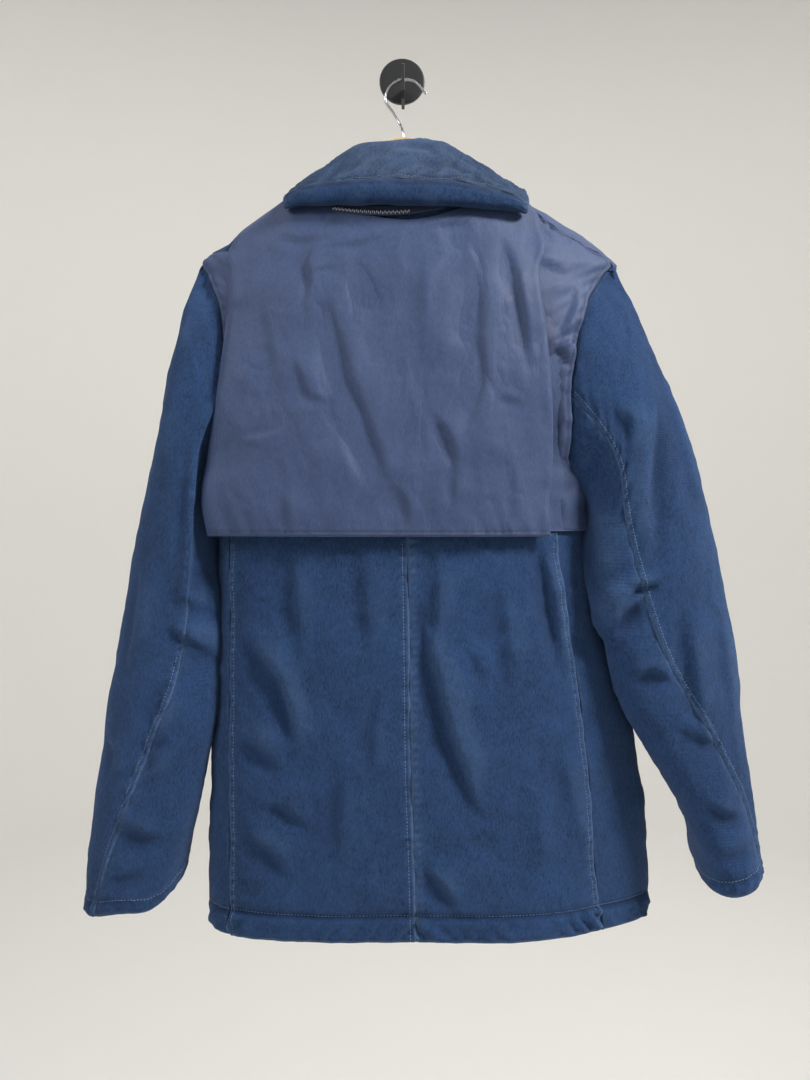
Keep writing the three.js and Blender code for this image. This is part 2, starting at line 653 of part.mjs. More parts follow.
function collarSheet() {
  const shares = [0, 0.12, 0.25, 0.37, 0.44, 0.5, 0.57, 0.67, 0.78, 0.89, 1];
  const surface = (a, share) => collarColumn(clamp(a, -COLLAR_END, COLLAR_END))
    .getPointAt(clamp(share, 0, 1));
  // The grid lies on the side that shows, so the cloth is under the fall.
  const rows = grid(shares, COLLAR_ANGLES, (angle, share) => {
    const point = surface(angle, share);
    const normal = normalOf(surface, angle, share, 4, 0.03).negate();
    const under = mix(CAPE.clearance, 0, smooth((Math.abs(angle) - 90) / 12)) + 1.2;
    const clearance = (COLLAR_CLOTH + under) * smooth((share - 0.5) / 0.2);
    point.addScaledVector(normal, share > 0.5 ? shortfall(point, normal, clearance) : 0);
    return { point, normal };
  });
  rows[0].forEach((cell, j) => cell.normal.copy(neckSeamSpot(COLLAR_ANGLES[j]).normal).negate());
  return wallGeometry(rows, COLLAR_CLOTH);
}

// The pouch is a closed stuffed roll; its ends taper to the corners of the collar.
function rollGeometry() {
  const around = 12;
  const along = 18;
  const positions = [];
  const index = [];
  for (let i = 0; i <= along; i += 1) {
    const r = rowAt(ROLL, ROLL_COLUMNS, mix(0, ROLL.length - 1, i / along), (k) => k);
    for (let j = 0; j < around; j += 1) {
      const a = (j / around) * Math.PI * 2;
      positions.push(r.x, r.y + r.deep * Math.cos(a), r.z + r.high * Math.sin(a));
    }
  }
  for (let i = 0; i < along; i += 1) {
    for (let j = 0; j < around; j += 1) {
      const a = i * around + j;
      const b = i * around + ((j + 1) % around);
      index.push(a, a + around, b, b, a + around, b + around);
    }
  }
  for (let j = 1; j < around - 1; j += 1) {
    const end = along * around;
    index.push(0, j, j + 1, end, end + j + 1, end + j);
  }
  return outwardGeometry(positions, index);
}

function zipTape() {
  const rows = grid([0, 0.5, 1], steps(12), (u, v) => {
    const t = mix(ZIP_TAPE.from, ZIP_TAPE.to, u);
    const z = mix(ZIP_TAPE.ends - ZIP_TAPE.belly * Math.sin(Math.PI * u), ZIP_TAPE.top, v);
    return bodySpot(t, z, CAPE.clearance + SEAM_GAP + ZIP_TAPE.cloth + 0.3);
  });
  return wallGeometry(rows, ZIP_TAPE.cloth);
}

add('collar', collarSheet(), twill);
add('collar_pouch', rollGeometry(), twill);
add('collar_zip_tape', zipTape(), tape);

// ---- Hanger, its wire and the wall hook ---------------------------------------------
function hangerTop(x) {
  return rowAt(HANGER_LINE, HANGER_LINE_COLUMNS, x).z;
}

function hangerWood() {
  const left = HANGER_LINE[0][0];
  const right = HANGER_LINE[HANGER_LINE.length - 1][0];
  const stations = steps(28).map((u) => mix(left, right, u));
  const upper = stations.map((x) => new THREE.Vector2(x, hangerTop(x)));
  const lower = stations.map((x) => {
    const out = x < 0 ? x / left : x / right;
    return new THREE.Vector2(x, hangerTop(x) - mix(HANGER.tall, HANGER.tipTall, out ** 3));
  });
  const shape = new THREE.Shape([...upper, ...lower.reverse()]);
  const bevel = 2;
  const geometry = new THREE.ExtrudeGeometry(shape, {
    depth: HANGER.thick - 2 * bevel, bevelEnabled: true, bevelSize: bevel, bevelOffset: -bevel,
    bevelThickness: bevel, bevelSegments: 1, steps: 1,
  });
  // The outline is drawn in X and Z, and its thickness runs towards the wall.
  geometry.rotateX(Math.PI / 2);
  geometry.translate(0, HANGER.y + HANGER.thick / 2 - bevel, 0);
  return geometry;
}

function wireSection() {
  return new THREE.Shape(steps(WIRE.sides - 1).map((u) => {
    const a = (u * (WIRE.sides - 1) * 2 * Math.PI) / WIRE.sides;
    return new THREE.Vector2(WIRE.radius * Math.cos(a), WIRE.radius * Math.sin(a));
  }));
}

function hangerWire() {
  const hook = { x: 3.4, z: -34.2, radius: 21 };
  const y = WIRE.y;
  const foot = new THREE.Vector3(HANGER_CROWN_X, HANGER.y, hangerTop(HANGER_CROWN_X) + SEAM_GAP);
  const points = [foot, new THREE.Vector3(0.8, HANGER.y + 2, -72), new THREE.Vector3(-2, y - 2, -62),
    new THREE.Vector3(-10, y, -48)];
  for (let degrees = 188; degrees >= 40; degrees -= 18.5) {
    const a = THREE.MathUtils.degToRad(degrees);
    points.push(new THREE.Vector3(hook.x + hook.radius * Math.cos(a), y,
      hook.z + hook.radius * Math.sin(a)));
  }
  points.push(new THREE.Vector3(25.5, y, -28));
  const path = new THREE.CatmullRomCurve3(points, false, 'centripetal');
  return new THREE.ExtrudeGeometry(wireSection(), { steps: 44, extrudePath: path });
}

function wallPlate() {
  const { radius, thick, edge } = PLATE;
  const profile = [[0, 0], [radius, 0], [radius, thick - edge], [radius - edge, thick], [0, thick]];
  const geometry = new THREE.LatheGeometry(profile.map(([r, h]) => new THREE.Vector2(r, h)), 40);
  geometry.rotateX(Math.PI);
  return geometry;
}

// A flat prong stands out from the plate; the wire sits in the notch behind its tip.
function wallProng() {
  const { reach, top, bottom, seat } = PRONG;
  const root = PLATE.thick + SEAM_GAP;
  const outline = [[root, bottom + 3], [reach - 6, bottom], [reach, bottom + 6], [reach, top - 2],
    [reach - 2, top], [reach - 4, top - 2], [reach - 5, seat + 4], [reach - 8, seat],
    [reach - 13, seat - 0.4], [reach - 20, seat + 3], [root, seat + 5]];
  const shape = new THREE.Shape(outline.map(([out, z]) => new THREE.Vector2(out, z)));
  const geometry = new THREE.ExtrudeGeometry(shape, { depth: PRONG.wide, bevelEnabled: false, steps: 1 });
  // Drawn in out and up, pushed sideways: turned so that out runs away from the wall.
  geometry.rotateX(Math.PI / 2);
  geometry.rotateZ(-Math.PI / 2);
  geometry.translate(PRONG.x + PRONG.wide / 2, 0, 0);
  return geometry;
}

add('hanger_wood', hangerWood(), wood);
add('hanger_hook', hangerWire(), steel);
add('wall_plate', wallPlate(), black);
add('wall_prong', wallProng(), black);

export default group;
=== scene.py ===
# %% [markdown]
# # A padded coat on a hanger
#
# The coat hangs with its front to a wall, on a wooden hanger whose wire sits on a round
# wall hook. Its panels were drawn as closed walls in the CAD frame. Here each panel is
# made again, far finer, from the same short tables, and then gets what the CAD leaves
# out: soft folds, puckered seams, rolled edges, thread, weave and wear, with painted
# shade in its grooves and troughs and a painted highlight on the tops of its folds.
#
# Tables stay in millimetres, as a pattern cutter would write them. Only the last step,
# which turns points into a mesh, goes over to metres.

# %% Load the frame
import math

import bpy
import numpy as np
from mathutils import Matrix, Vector


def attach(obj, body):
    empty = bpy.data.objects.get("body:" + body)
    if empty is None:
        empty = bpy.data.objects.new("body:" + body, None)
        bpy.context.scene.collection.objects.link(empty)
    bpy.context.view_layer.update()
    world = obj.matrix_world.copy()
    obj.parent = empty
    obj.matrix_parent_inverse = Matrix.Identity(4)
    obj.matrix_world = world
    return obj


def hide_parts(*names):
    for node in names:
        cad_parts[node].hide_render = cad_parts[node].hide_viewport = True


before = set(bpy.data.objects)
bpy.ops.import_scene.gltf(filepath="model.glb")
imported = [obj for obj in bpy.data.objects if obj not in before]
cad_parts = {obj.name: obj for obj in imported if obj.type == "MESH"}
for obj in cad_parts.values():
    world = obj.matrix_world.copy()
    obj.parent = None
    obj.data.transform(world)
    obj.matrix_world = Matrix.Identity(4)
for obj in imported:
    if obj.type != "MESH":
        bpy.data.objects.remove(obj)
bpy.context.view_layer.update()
METRES = 0.001
print("nodes in the frame:", len(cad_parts))

# %% [markdown]
# ## Numbers from short tables
#
# A real pattern is a few measured points joined by a smooth curve. A table holds the
# measured rows, and table_value reads any place between them with a cubic that passes
# through every row. It works on whole numpy arrays, so that a panel of many thousand
# points costs a moment.

# %% Smooth steps and table values
def smooth(x):
    """Goes from 0 to 1 with soft ends."""
    x = np.clip(x, 0.0, 1.0)
    return x * x * (3.0 - 2.0 * x)


def mix(a, b, share):
    return a + (b - a) * share


def bell(x, width):
    """A soft hump, 1 high at x = 0."""
    return np.exp(-(x / width) ** 2)


def squarish(angle, power):
    """Cosine and sine of an angle, pushed out towards a square's corners."""
    c, s = np.cos(angle), np.sin(angle)
    return np.sign(c) * np.abs(c) ** power, np.sign(s) * np.abs(s) ** power


def cubic_rows(values, keys, at):
    """Values given at some keys, read smoothly at other places along the first axis."""
    at = np.asarray(at, float)
    extra = (1,) * (values.ndim - 1)
    low = np.maximum(np.arange(len(keys)) - 1, 0)
    high = np.minimum(np.arange(len(keys)) + 1, len(keys) - 1)
    slopes = (values[high] - values[low]) / (keys[high] - keys[low]).reshape((-1,) + extra)
    i = np.clip(np.searchsorted(keys, at, side="right") - 1, 0, len(keys) - 2)
    span = (keys[i + 1] - keys[i]).reshape(at.shape + extra)
    f = np.clip((at - keys[i]).reshape(at.shape + extra) / span, 0.0, 1.0)
    f2, f3 = f * f, f * f * f
    return ((2 * f3 - 3 * f2 + 1) * values[i] + (f3 - 2 * f2 + f) * slopes[i] * span
            + (3 * f2 - 2 * f3) * values[i + 1] + (f3 - f2) * slopes[i + 1] * span)


def table_value(table, column, place, by_row=False):
    """One column of a table at any place along its first column, or along its rows."""
    table = np.asarray(table, float)
    keys = np.arange(len(table), dtype=float) if by_row else table[:, 0]
    return cubic_rows(table[:, column], keys, place)


def centripetal(p0, p1, p2, p3, f):
    """A point between p1 and p2 on a centripetal Catmull-Rom curve through four points."""
    d0 = np.sum((p1 - p0) ** 2, axis=-1, keepdims=True) ** 0.25
    d1 = np.sum((p2 - p1) ** 2, axis=-1, keepdims=True) ** 0.25
    d2 = np.sum((p3 - p2) ** 2, axis=-1, keepdims=True) ** 0.25
    d1 = np.where(d1 < 1e-4, 1.0, d1)
    d0 = np.where(d0 < 1e-4, d1, d0)
    d2 = np.where(d2 < 1e-4, d1, d2)
    leave = ((p1 - p0) / d0 - (p2 - p0) / (d0 + d1) + (p2 - p1) / d1) * d1
    arrive = ((p2 - p1) / d1 - (p3 - p1) / (d1 + d2) + (p3 - p2) / d2) * d1
    c2 = -3 * p1 + 3 * p2 - 2 * leave - arrive
    c3 = 2 * p1 - 2 * p2 + leave + arrive
    return p1 + f * (leave + f * (c2 + f * c3))


print("half way through a smooth step:", float(smooth(0.5)))

# %% [markdown]
# ## The body's form
#
# The body of the coat is one closed tube. Each row of BODY is a level cut through it:
# where its back and front lie, where the back panel's seam runs on each side, and the
# outermost point. Twelve stations go round each cut: 0 is the centre back, 2 the right
# seam, 3 the right edge, 6 the centre front, 9 the left edge and 10 the left seam.

# %% Tables of the body
BODY_COLUMNS = ("z", "centre_x", "back_y", "front_y", "left_seam_x", "left_seam_y",
                "left_edge_x", "left_edge_y", "right_seam_x", "right_seam_y",
                "right_edge_x", "right_edge_y", "turn", "ease")
BODY = (
    (-905, 14.6, -115, -14, -175, -96, -198, -64, 205, -86, 260, -42, 22, 0.05),
    (-830, 12.7, -115, -13, -173, -97, -199, -64, 195, -90, 258, -46, 22, 0.05),
    (-740, 9.5, -115, -13, -174, -96, -197, -64, 188, -92, 249, -48, 22, 0.05),
    (-660, 8.5, -114, -13, -174, -94, -191, -62, 179, -93, 231, -52, 22, 0.05),
    (-590, 7.6, -113, -13, -174, -92, -189, -60, 166, -94, 210, -55, 20, 0.05),
    (-505, 6.2, -111, -13, -175, -88, -188, -58, 158, -92, 196, -57, 18, 0.06),
    (-425, 5.2, -110, -13, -176, -80, -187, -56, 169, -84, 183, -56, 18, 0.06),
    (-340, 4.5, -108, -14, -178, -84, -194, -52, 173, -88, 190, -54, 24, 0.08),
    (-270, 4.0, -104, -18, -187, -75, -201, -48, 188, -75, 210, -50, 20, 0.12),
    (-230, 3.5, -99, -22, -203, -57, -208.5, -44, 211, -57, 224, -46, 8, 0.17),
    (-217, 3.3, -97, -24, -208, -53, -209.5, -43, 219, -53, 227, -45, 3, 0.2),
    (-185, 3.3, -89, -29, -165.5, -56, -166.5, -43, 162, -61, 190, -45, 3, 0.22),
    (-152, 3.3, -78, -33, -117.5, -56, -118.5, -43, 121, -61, 133, -45, 3, 0.25),
    (-144, 3.3, -74, -34, -98.5, -55, -99.5, -43, 106, -59, 116, -45, 3, 0.25),
    (-138, 3.3, -70, -35, -83.5, -53, -84.5, -43, 90, -57, 98, -44, 3, 0.25),
)
STATIONS = 12
CENTRE_FRONT = 6.0
SIDE_SEAM = {"left": 10.0, "right": 2.0}
HEM_Z = -905.0
YOKE_SEAM_Z = -332.0      # where the front yokes meet the twill fronts
CAPE_HEM_Z = -505.0
NECK_BACK, NECK_SIDE, NECK_CORNER, NECK_FRONT = -181.0, -138.0, -140.0, -236.0
ARMHOLE_MIDDLE, ARMHOLE_REACH = -321.0, 104.0
SLEEVE_SEAM_Z = -358.0    # where both seams of a sleeve meet the armhole
SEAM_GAP = 0.3
LAP = -0.25               # neighbours run a little into each other at a sewn edge


# %% Points on the body
def body_stations(z):
    """The twelve points round the body at each height: an array (..., 12, 2)."""
    s = {name: table_value(BODY, c, z) for c, name in enumerate(BODY_COLUMNS)}

    def corner_y(edge):
        return mix(s["front_y"], s[edge], 0.2)

    def half_way(side):
        return (mix(s["centre_x"], s[side + "_seam_x"], 0.56),
                mix(s["back_y"], s[side + "_seam_y"], s["ease"]))

    points = (
        (s["centre_x"], s["back_y"]), half_way("right"),
        (s["right_seam_x"], s["right_seam_y"]), (s["right_edge_x"], s["right_edge_y"]),
        (s["right_edge_x"] - s["turn"], corner_y("right_edge_y")),
        (mix(s["centre_x"], s["right_edge_x"], 0.5), s["front_y"]),
        (s["centre_x"], s["front_y"]),
        (mix(s["centre_x"], s["left_edge_x"], 0.5), s["front_y"]),
        (s["left_edge_x"] + s["turn"], corner_y("left_edge_y")),
        (s["left_edge_x"], s["left_edge_y"]),
        (s["left_seam_x"], s["left_seam_y"]), half_way("left"),
    )
    return np.stack([np.stack(p, axis=-1) for p in points], axis=-2)


def body_point(t, z):
    """A point of the body's outer side at station t and height z."""
    t, z = np.broadcast_arrays(np.asarray(t, float), np.asarray(z, float))
    stations = body_stations(z)
    turn = np.mod(t, STATIONS)
    i = np.minimum(np.floor(turn).astype(int), STATIONS - 1)

    def station(offset):
        k = np.mod(i + offset, STATIONS)[..., None, None]
        return np.take_along_axis(stations, np.broadcast_to(k, k.shape[:-1] + (2,)), axis=-2)[..., 0, :]

    xy = centripetal(station(-1), station(0), station(1), station(2), (turn - i)[..., None])
    return np.concatenate([xy, z[..., None]], axis=-1)


def unit(vectors):
    return vectors / np.maximum(np.linalg.norm(vectors, axis=-1, keepdims=True), 1e-9)


def normal_of(surface, a, b, da, db):
    """The normal of a surface given as a function of two numbers."""
    along_a = surface(a + da, b) - surface(a - da, b)
    along_b = surface(a, b + db) - surface(a, b - db)
    return unit(np.cross(along_a, along_b))


def away_from(normals, points, inside):
    """Turns the normals so that they point away from an inside point."""
    wrong = np.sum(normals * (points - inside), axis=-1, keepdims=True) < 0
    return np.where(wrong, -normals, normals)


def body_spot(t, z):
    """A point of the body and its outward normal."""
    t, z = np.broadcast_arrays(np.asarray(t, float), np.asarray(z, float))
    point = body_point(t, z)
    inside = np.stack([mix(point[..., 0], 3.0, 0.5), np.full(z.shape, -55.0),
                       np.minimum(z, -260.0)], axis=-1)
    return point, away_from(normal_of(body_point, t, z, 0.03, 2.0), point, inside)


def neck_height(t):
    """The height of the neck seam at a station, lowest at the two centres."""
    side = np.minimum(np.abs(t), STATIONS - np.abs(t))
    back = mix(NECK_BACK, NECK_SIDE, smooth(np.clip(side / 2, 0, 1) ** 0.9))
    ridge = mix(NECK_SIDE, NECK_CORNER, np.clip((side - 2) / 2, 0, 1))
    front = mix(NECK_CORNER, NECK_FRONT, np.clip((side - 4) / 2, 0, 1) ** 2.4)
    return np.where(side <= 2, back, np.where(side <= 4, ridge, front))


def armhole_station(side, degrees):
    """The armhole's station at an angle from its top towards the back."""
    past = np.clip(np.minimum((degrees - 180) / 75, (360 - degrees) / 60), 0, 1)
    swing = np.where(degrees > 180, 2 * smooth(past), 0.0)
    return SIDE_SEAM[side] + (swing if side == "right" else -swing)


def armhole_angle(z, on_front):
    c = np.clip((z - ARMHOLE_MIDDLE) / ARMHOLE_REACH, -1, 1)
    back = np.degrees(np.arccos(c))
    return 360 - back if on_front else back


def front_start(side, z):
    """The station where the front begins: side seam, armhole or shoulder seam."""
    inside = np.abs(z - ARMHOLE_MIDDLE) < ARMHOLE_REACH
    return np.where(inside, armhole_station(side, armhole_angle(z, True)), SIDE_SEAM[side])


print("centre back of the hem:", body_point(0.0, HEM_Z).round(1))

# %% [markdown]
# ## Grids, distances and edges
#
# Every cloth piece is a grid of points and normals. A seam or a hem is worked at its
# edge, so the grid is closer there. edge_distances measures, in millimetres of cloth,
# how far each point lies from the grid's four edges. Puckers, stitch lines and wear are
# all written in those distances, as on real cloth.

# %% Spacing and distances
NEAR_EDGE = np.array((0.0, 0.5, 1.2, 2.2, 3.5, 5.0, 6.5, 8.0, 10.0))


def spaced(length, pitch):
    """Shares from 0 to 1 of a length in mm: close at both ends, a pitch apart between."""
    near = NEAR_EDGE / length
    count = max(2, round((length - 2 * NEAR_EDGE[-1]) / pitch) + 1)
    middle = np.linspace(near[-1], 1 - near[-1], count)
    return np.concatenate([near[:-1], middle, 1 - near[:-1][::-1]])


def edge_distances(points):
    """Distances of every grid point from the first and last column and row."""
    across = np.linalg.norm(np.diff(points, axis=1), axis=2)
    along = np.linalg.norm(np.diff(points, axis=0), axis=2)
    left = np.pad(np.cumsum(across, axis=1), ((0, 0), (1, 0)))
    low = np.pad(np.cumsum(along, axis=0), ((1, 0), (0, 0)))
    return {"first": left, "last": left[:, -1:] - left, "low": low, "high": low[-1:] - low}


# %% [markdown]
# ## Relief: what happens to cloth at a seam, at a hem and in a fold
#
# Three things shape the surface of a worn padded coat. A seam pulls the padding down to
# nothing along its line. The thread is a little shorter than the cloth, which shrinks
# into small slanting puckers beside each row of stitches. And the cloth hangs in a few
# long soft folds, which are placed as lines with a depth and a width.

# %% Seams, puckers and folds
def wander(x, seed):
    """A slow uneven wave between about -1 and 1, the same on every run."""
    rng = np.random.default_rng(seed)
    total = np.zeros_like(np.asarray(x, float))
    for rate in (1.0, 1.7, 2.9):
        total = total + np.sin(x * rate + rng.uniform(0, 6.28)) / (1.0 + rate)
    return total


def dapple(x, z, size, seed):
    """A soft uneven surface in two directions, between about -1 and 1."""
    rng = np.random.default_rng(seed)
    total = 0.0
    for _ in range(7):
        angle = rng.uniform(0, math.pi)
        rate = 2 * math.pi / (size * rng.uniform(0.7, 1.6))
        total = total + np.cos((x * math.cos(angle) + z * math.sin(angle)) * rate
                               + rng.uniform(0, 6.28))
    return total / 3.5


def crinkle(x, z, size, seed):
    """Sharp little creases between softer fields, as thin cloth keeps them."""
    return 0.5 - np.minimum(np.abs(dapple(x, z, size, seed)) * 1.4, 1.0)


def pucker(distance, along, pitch=11.0, reach=13.0, seed=1, slant=0.5):
    """Small slanting ripples that die away from a row of stitches."""
    place = (along + slant * distance) / pitch
    ripple = np.sin(2 * math.pi * place + 1.9 * wander(place * 0.37, seed))
    strength = 0.65 + 0.6 * wander(place * 0.23, seed + 50)
    return ripple * strength * np.exp(-distance / reach)


def seam_dip(distance, depth, width=1.6):
    """The cloth rolls down into a seam."""
    return -depth * np.exp(-(distance / width) ** 1.5)


def stitched_edge(distance, along, stitch, depth=1.2, swell=0.5, seed=1, pitch=9.0):
    """A seam or hem with one row of stitches a few millimetres away from it."""
    groove = -0.6 * bell(distance - stitch, 1.2)
    gathers = 1.1 * pucker(np.abs(distance - stitch), along, pitch, 8.0, seed, 0.45)
    drags = 0.8 * pucker(np.maximum(distance - stitch, 0), along, pitch * 2.6, 26.0, seed + 7, 0.8)
    ridge = swell * bell(distance - stitch * 0.5, stitch * 0.35)
    inside = smooth(distance / 3.0)
    return seam_dip(distance, depth) + groove + ridge + (gathers + drags) * inside


def line_places(x, z, line):
    """Signed distance from a given line in the hanging plane, and the share along it."""
    line = np.asarray(line, float)
    best = np.full(x.shape, 1e9)
    signed = np.zeros(x.shape)
    share = np.zeros(x.shape)
    lengths = np.linalg.norm(np.diff(line, axis=0), axis=1)
    starts = np.concatenate([[0.0], np.cumsum(lengths)])
    for k, length in enumerate(lengths):
        ax, az = line[k]
        ux, uz = (line[k + 1] - line[k]) / length
        along = np.clip((x - ax) * ux + (z - az) * uz, 0, length)
        dx, dz = x - ax - along * ux, z - az - along * uz
        far = np.hypot(dx, dz)
        nearer = far < best
        side = np.where(ux * (z - az) - uz * (x - ax) > 0, 1.0, -1.0)
        best = np.where(nearer, far, best)
        signed = np.where(nearer, far * side, signed)
        share = np.where(nearer, (starts[k] + along) / starts[-1], share)
    return signed, share


def folds(x, z, lines):
    """Adds up the listed folds. Each is (depth, width, ridge, line): a trough along the
    line and, on its left-hand side, a ridge of so much of the depth. The wall between
    them is steep, and both outer flanks run out softly."""
    height = np.zeros(x.shape)
    for depth, width, ridge, line in lines:
        signed, share = line_places(x, z, line)
        fade = smooth(share / 0.4) * smooth((1 - share) / 0.45)
        wide = width * (0.5 + 0.5 * fade)
        trough = -bell(signed, np.where(signed > 0, 0.7, 2.2) * wide)
        crest = ridge * bell(signed - 1.4 * wide, np.where(signed > 1.4 * wide, 3.0, 0.75) * wide)
        height = height + depth * fade * (trough + crest)
    return height


print("pucker beside a seam:", round(float(pucker(3.0, 4.0)), 3))

# %% [markdown]
# ## Shader groups: weave, paling, unevenness and creasing
#
# Cloth colour is never one colour. Four effects are shared by the cloth finishes, so each
# is a node group with named sockets: a weave that gives a height for bump, a paling that
# lets the paler core of the thread show where an edge has rubbed and paints a highlight
# where the mask carries one, a slow unevenness from dye and washing, and small sharp
# creases. The groups only hand out values and colours. The shader itself, with its sheen
# and gloss, stays in each material.

# %% Small helpers for nodes
def new_group(name, inputs, outputs):
    """A shader node group with named sockets. Sockets are (name, type, value)."""
    group = bpy.data.node_groups.new(name, "ShaderNodeTree")
    for label, kind, value in inputs:
        socket = group.interface.new_socket(label, in_out="INPUT", socket_type="NodeSocket" + kind)
        if value is not None:
            socket.default_value = value
    for label, kind in outputs:
        group.interface.new_socket(label, in_out="OUTPUT", socket_type="NodeSocket" + kind)
    enter = group.nodes.new("NodeGroupInput")
    leave = group.nodes.new("NodeGroupOutput")
    return group, enter.outputs, leave.inputs


def feed(tree, socket, value):
    """Puts a number, a colour or another node's output into a socket."""
    if hasattr(value, "is_output"):
        tree.links.new(value, socket)
    else:
        socket.default_value = value


def fill(tree, node, **values):
    """Feeds a node's sockets by name; underscores in the names stand for spaces."""
    for name, value in values.items():
        feed(tree, node.inputs[name.replace("_", " ")], value)
    return node


def math_node(tree, operation, *values, clamp=False):
    node = tree.nodes.new("ShaderNodeMath")
    node.operation = operation
    node.use_clamp = clamp
    for socket, value in zip(node.inputs, values):
        feed(tree, socket, value)
    return node.outputs[0]


def noise_node(tree, vector, scale, detail=2.0, roughness=0.5):
    node = tree.nodes.new("ShaderNodeTexNoise")
    fill(tree, node, Vector=vector, Scale=scale, Detail=detail, Roughness=roughness)
    return node.outputs["Fac"]


def colour_mix(tree, share, a, b):
    node = tree.nodes.new("ShaderNodeMix")
    node.data_type = "RGBA"
    fill(tree, node, Factor=share, A=a, B=b)
    return node.outputs["Result"]


def use_group(tree, group, **values):
    node = tree.nodes.new("ShaderNodeGroup")
    node.node_tree = group
    return fill(tree, node, **values).outputs


def bump_node(tree, height, strength, distance):
    """A bump; distance is the height in metres that a value of 1 stands for."""
    return fill(tree, tree.nodes.new("ShaderNodeBump"), Strength=strength, Distance=distance,
                Height=height)


# %% The weave group
def weave_group():
    group, given, result = new_group(
        "Weave",
        [("Cloth Place", "Vector", None), ("Pitch", "Float", 0.001), ("Slant", "Float", 0.8),
         ("Fuzz", "Float", 0.4)],
        [("Height", "Float"), ("Speckle", "Float")])
    apart = group.nodes.new("ShaderNodeSeparateXYZ")
    group.links.new(given["Cloth Place"], apart.inputs[0])
    rate = math_node(group, "DIVIDE", 2 * math.pi, given["Pitch"])
    lean = math_node(group, "MULTIPLY", apart.outputs["Y"], given["Slant"])
    across = math_node(group, "ADD", apart.outputs["X"], lean)
    counter_lean = math_node(group, "MULTIPLY", apart.outputs["X"], 0.35)
    along = math_node(group, "SUBTRACT", apart.outputs["Y"], counter_lean)
    rib = math_node(group, "SINE", math_node(group, "MULTIPLY", across, rate))
    yarn = math_node(group, "SINE", math_node(group, "MULTIPLY", along, rate))
    grain = math_node(group, "DIVIDE", 1.1, given["Pitch"])
    fuzz = noise_node(group, given["Cloth Place"], grain, 3.0, 0.6)
    woven = math_node(group, "ADD", math_node(group, "MULTIPLY", rib, 0.32),
                      math_node(group, "MULTIPLY", yarn, 0.16))
    fuzzy = math_node(group, "MULTIPLY", math_node(group, "SUBTRACT", fuzz, 0.5), given["Fuzz"])
    group.links.new(math_node(group, "ADD", woven, fuzzy), result["Height"])
    group.links.new(fuzz, result["Speckle"])
    return group


WEAVE = weave_group()


# %% The fading, unevenness and creasing groups
def slanted(tree, place, angle, long):
    """The place turned in the hanging plane and stretched, for streaks that lean."""
    turn = tree.nodes.new("ShaderNodeMapping")
    turn.inputs["Rotation"].default_value = (0.0, angle, 0.0)
    turn.inputs["Scale"].default_value = (1.0, 1.0, long)
    tree.links.new(place, turn.inputs["Vector"])
    return turn.outputs[0]


def paling_group():
    """Lets a paler colour through where the mask of wear and painted highlight is high, broken up by
    noise.
    """
    group, given, result = new_group(
        "Paling",
        [("Place", "Vector", None), ("Mask", "Float", 0.0), ("Cloth", "Color", (0, 0, 0, 1)),
         ("Faded", "Color", (1, 1, 1, 1)), ("Breakup", "Float", 300.0)],
        [("Color", "Color"), ("Paled", "Float")])
    patches = noise_node(group, given["Place"], given["Breakup"], 4.0, 0.7)
    lifted = math_node(group, "MULTIPLY_ADD", patches, 1.5, -0.28)
    pale_from_wear_and_highlight = math_node(group, "MULTIPLY", given["Mask"], lifted, clamp=True)
    group.links.new(colour_mix(group, pale_from_wear_and_highlight, given["Cloth"], given["Faded"]), result["Color"])
    group.links.new(pale_from_wear_and_highlight, result["Paled"])
    return group


def unevenness_group():
    """Slow light and dark from dye, short slanting streaks of yarn and a fine speckle."""
    group, given, result = new_group(
        "Unevenness",
        [("Place", "Vector", None), ("Cloth", "Color", (0, 0, 0, 1)), ("Slow", "Float", 0.15),
         ("Fine", "Float", 0.2), ("Speckle", "Float", 0.5)],
        [("Color", "Color")])
    broad = math_node(group, "SUBTRACT", noise_node(group, given["Place"], 14.0, 3.0, 0.55), 0.5)
    middle = math_node(group, "SUBTRACT", noise_node(group, given["Place"], 70.0, 4.0, 0.6), 0.5)
    slow = math_node(group, "MULTIPLY", math_node(group, "ADD", broad, middle), given["Slow"])
    streaks = noise_node(group, slanted(group, given["Place"], 0.6, 0.3), 640.0, 2.0, 0.6)
    threads = noise_node(group, slanted(group, given["Place"], -0.95, 0.4), 840.0, 2.0, 0.6)
    yarns = math_node(group, "SUBTRACT", math_node(group, "ADD", streaks, threads), 1.0)
    dots = math_node(group, "ADD", math_node(group, "SUBTRACT", given["Speckle"], 0.5),
                     math_node(group, "MULTIPLY", yarns, 1.7))
    fine = math_node(group, "MULTIPLY", dots, given["Fine"])
    value = math_node(group, "ADD", 1.0, math_node(group, "ADD", slow, fine))
    value = math_node(group, "MAXIMUM", value, 0.25)
    shaded = group.nodes.new("ShaderNodeVectorMath")
    shaded.operation = "SCALE"
    group.links.new(given["Cloth"], shaded.inputs[0])
    group.links.new(value, shaded.inputs["Scale"])
    group.links.new(shaded.outputs[0], result["Color"])
    return group


def creasing_group():
    """Small sharp creases: the lines where a slanted noise crosses its middle value."""
    group, given, result = new_group(
        "Creasing", [("Place", "Vector", None), ("Scale", "Float", 26.0)],
        [("Height", "Float")])
    lines = noise_node(group, slanted(group, given["Place"], 0.45, 0.5), given["Scale"], 3.0, 0.45)
    fields = noise_node(group, given["Place"], 17.0, 2.0, 0.5)
    apart = math_node(group, "ABSOLUTE", math_node(group, "SUBTRACT", lines, 0.5))
    sharp = math_node(group, "MULTIPLY", apart, 11.0, clamp=True)
    shown = math_node(group, "MULTIPLY_ADD", fields, 4.0, -1.5, clamp=True)
    dip = math_node(group, "MULTIPLY", math_node(group, "SUBTRACT", sharp, 1.0), shown)
    group.links.new(math_node(group, "MULTIPLY_ADD", lines, 1.6, dip), result["Height"])
    return group


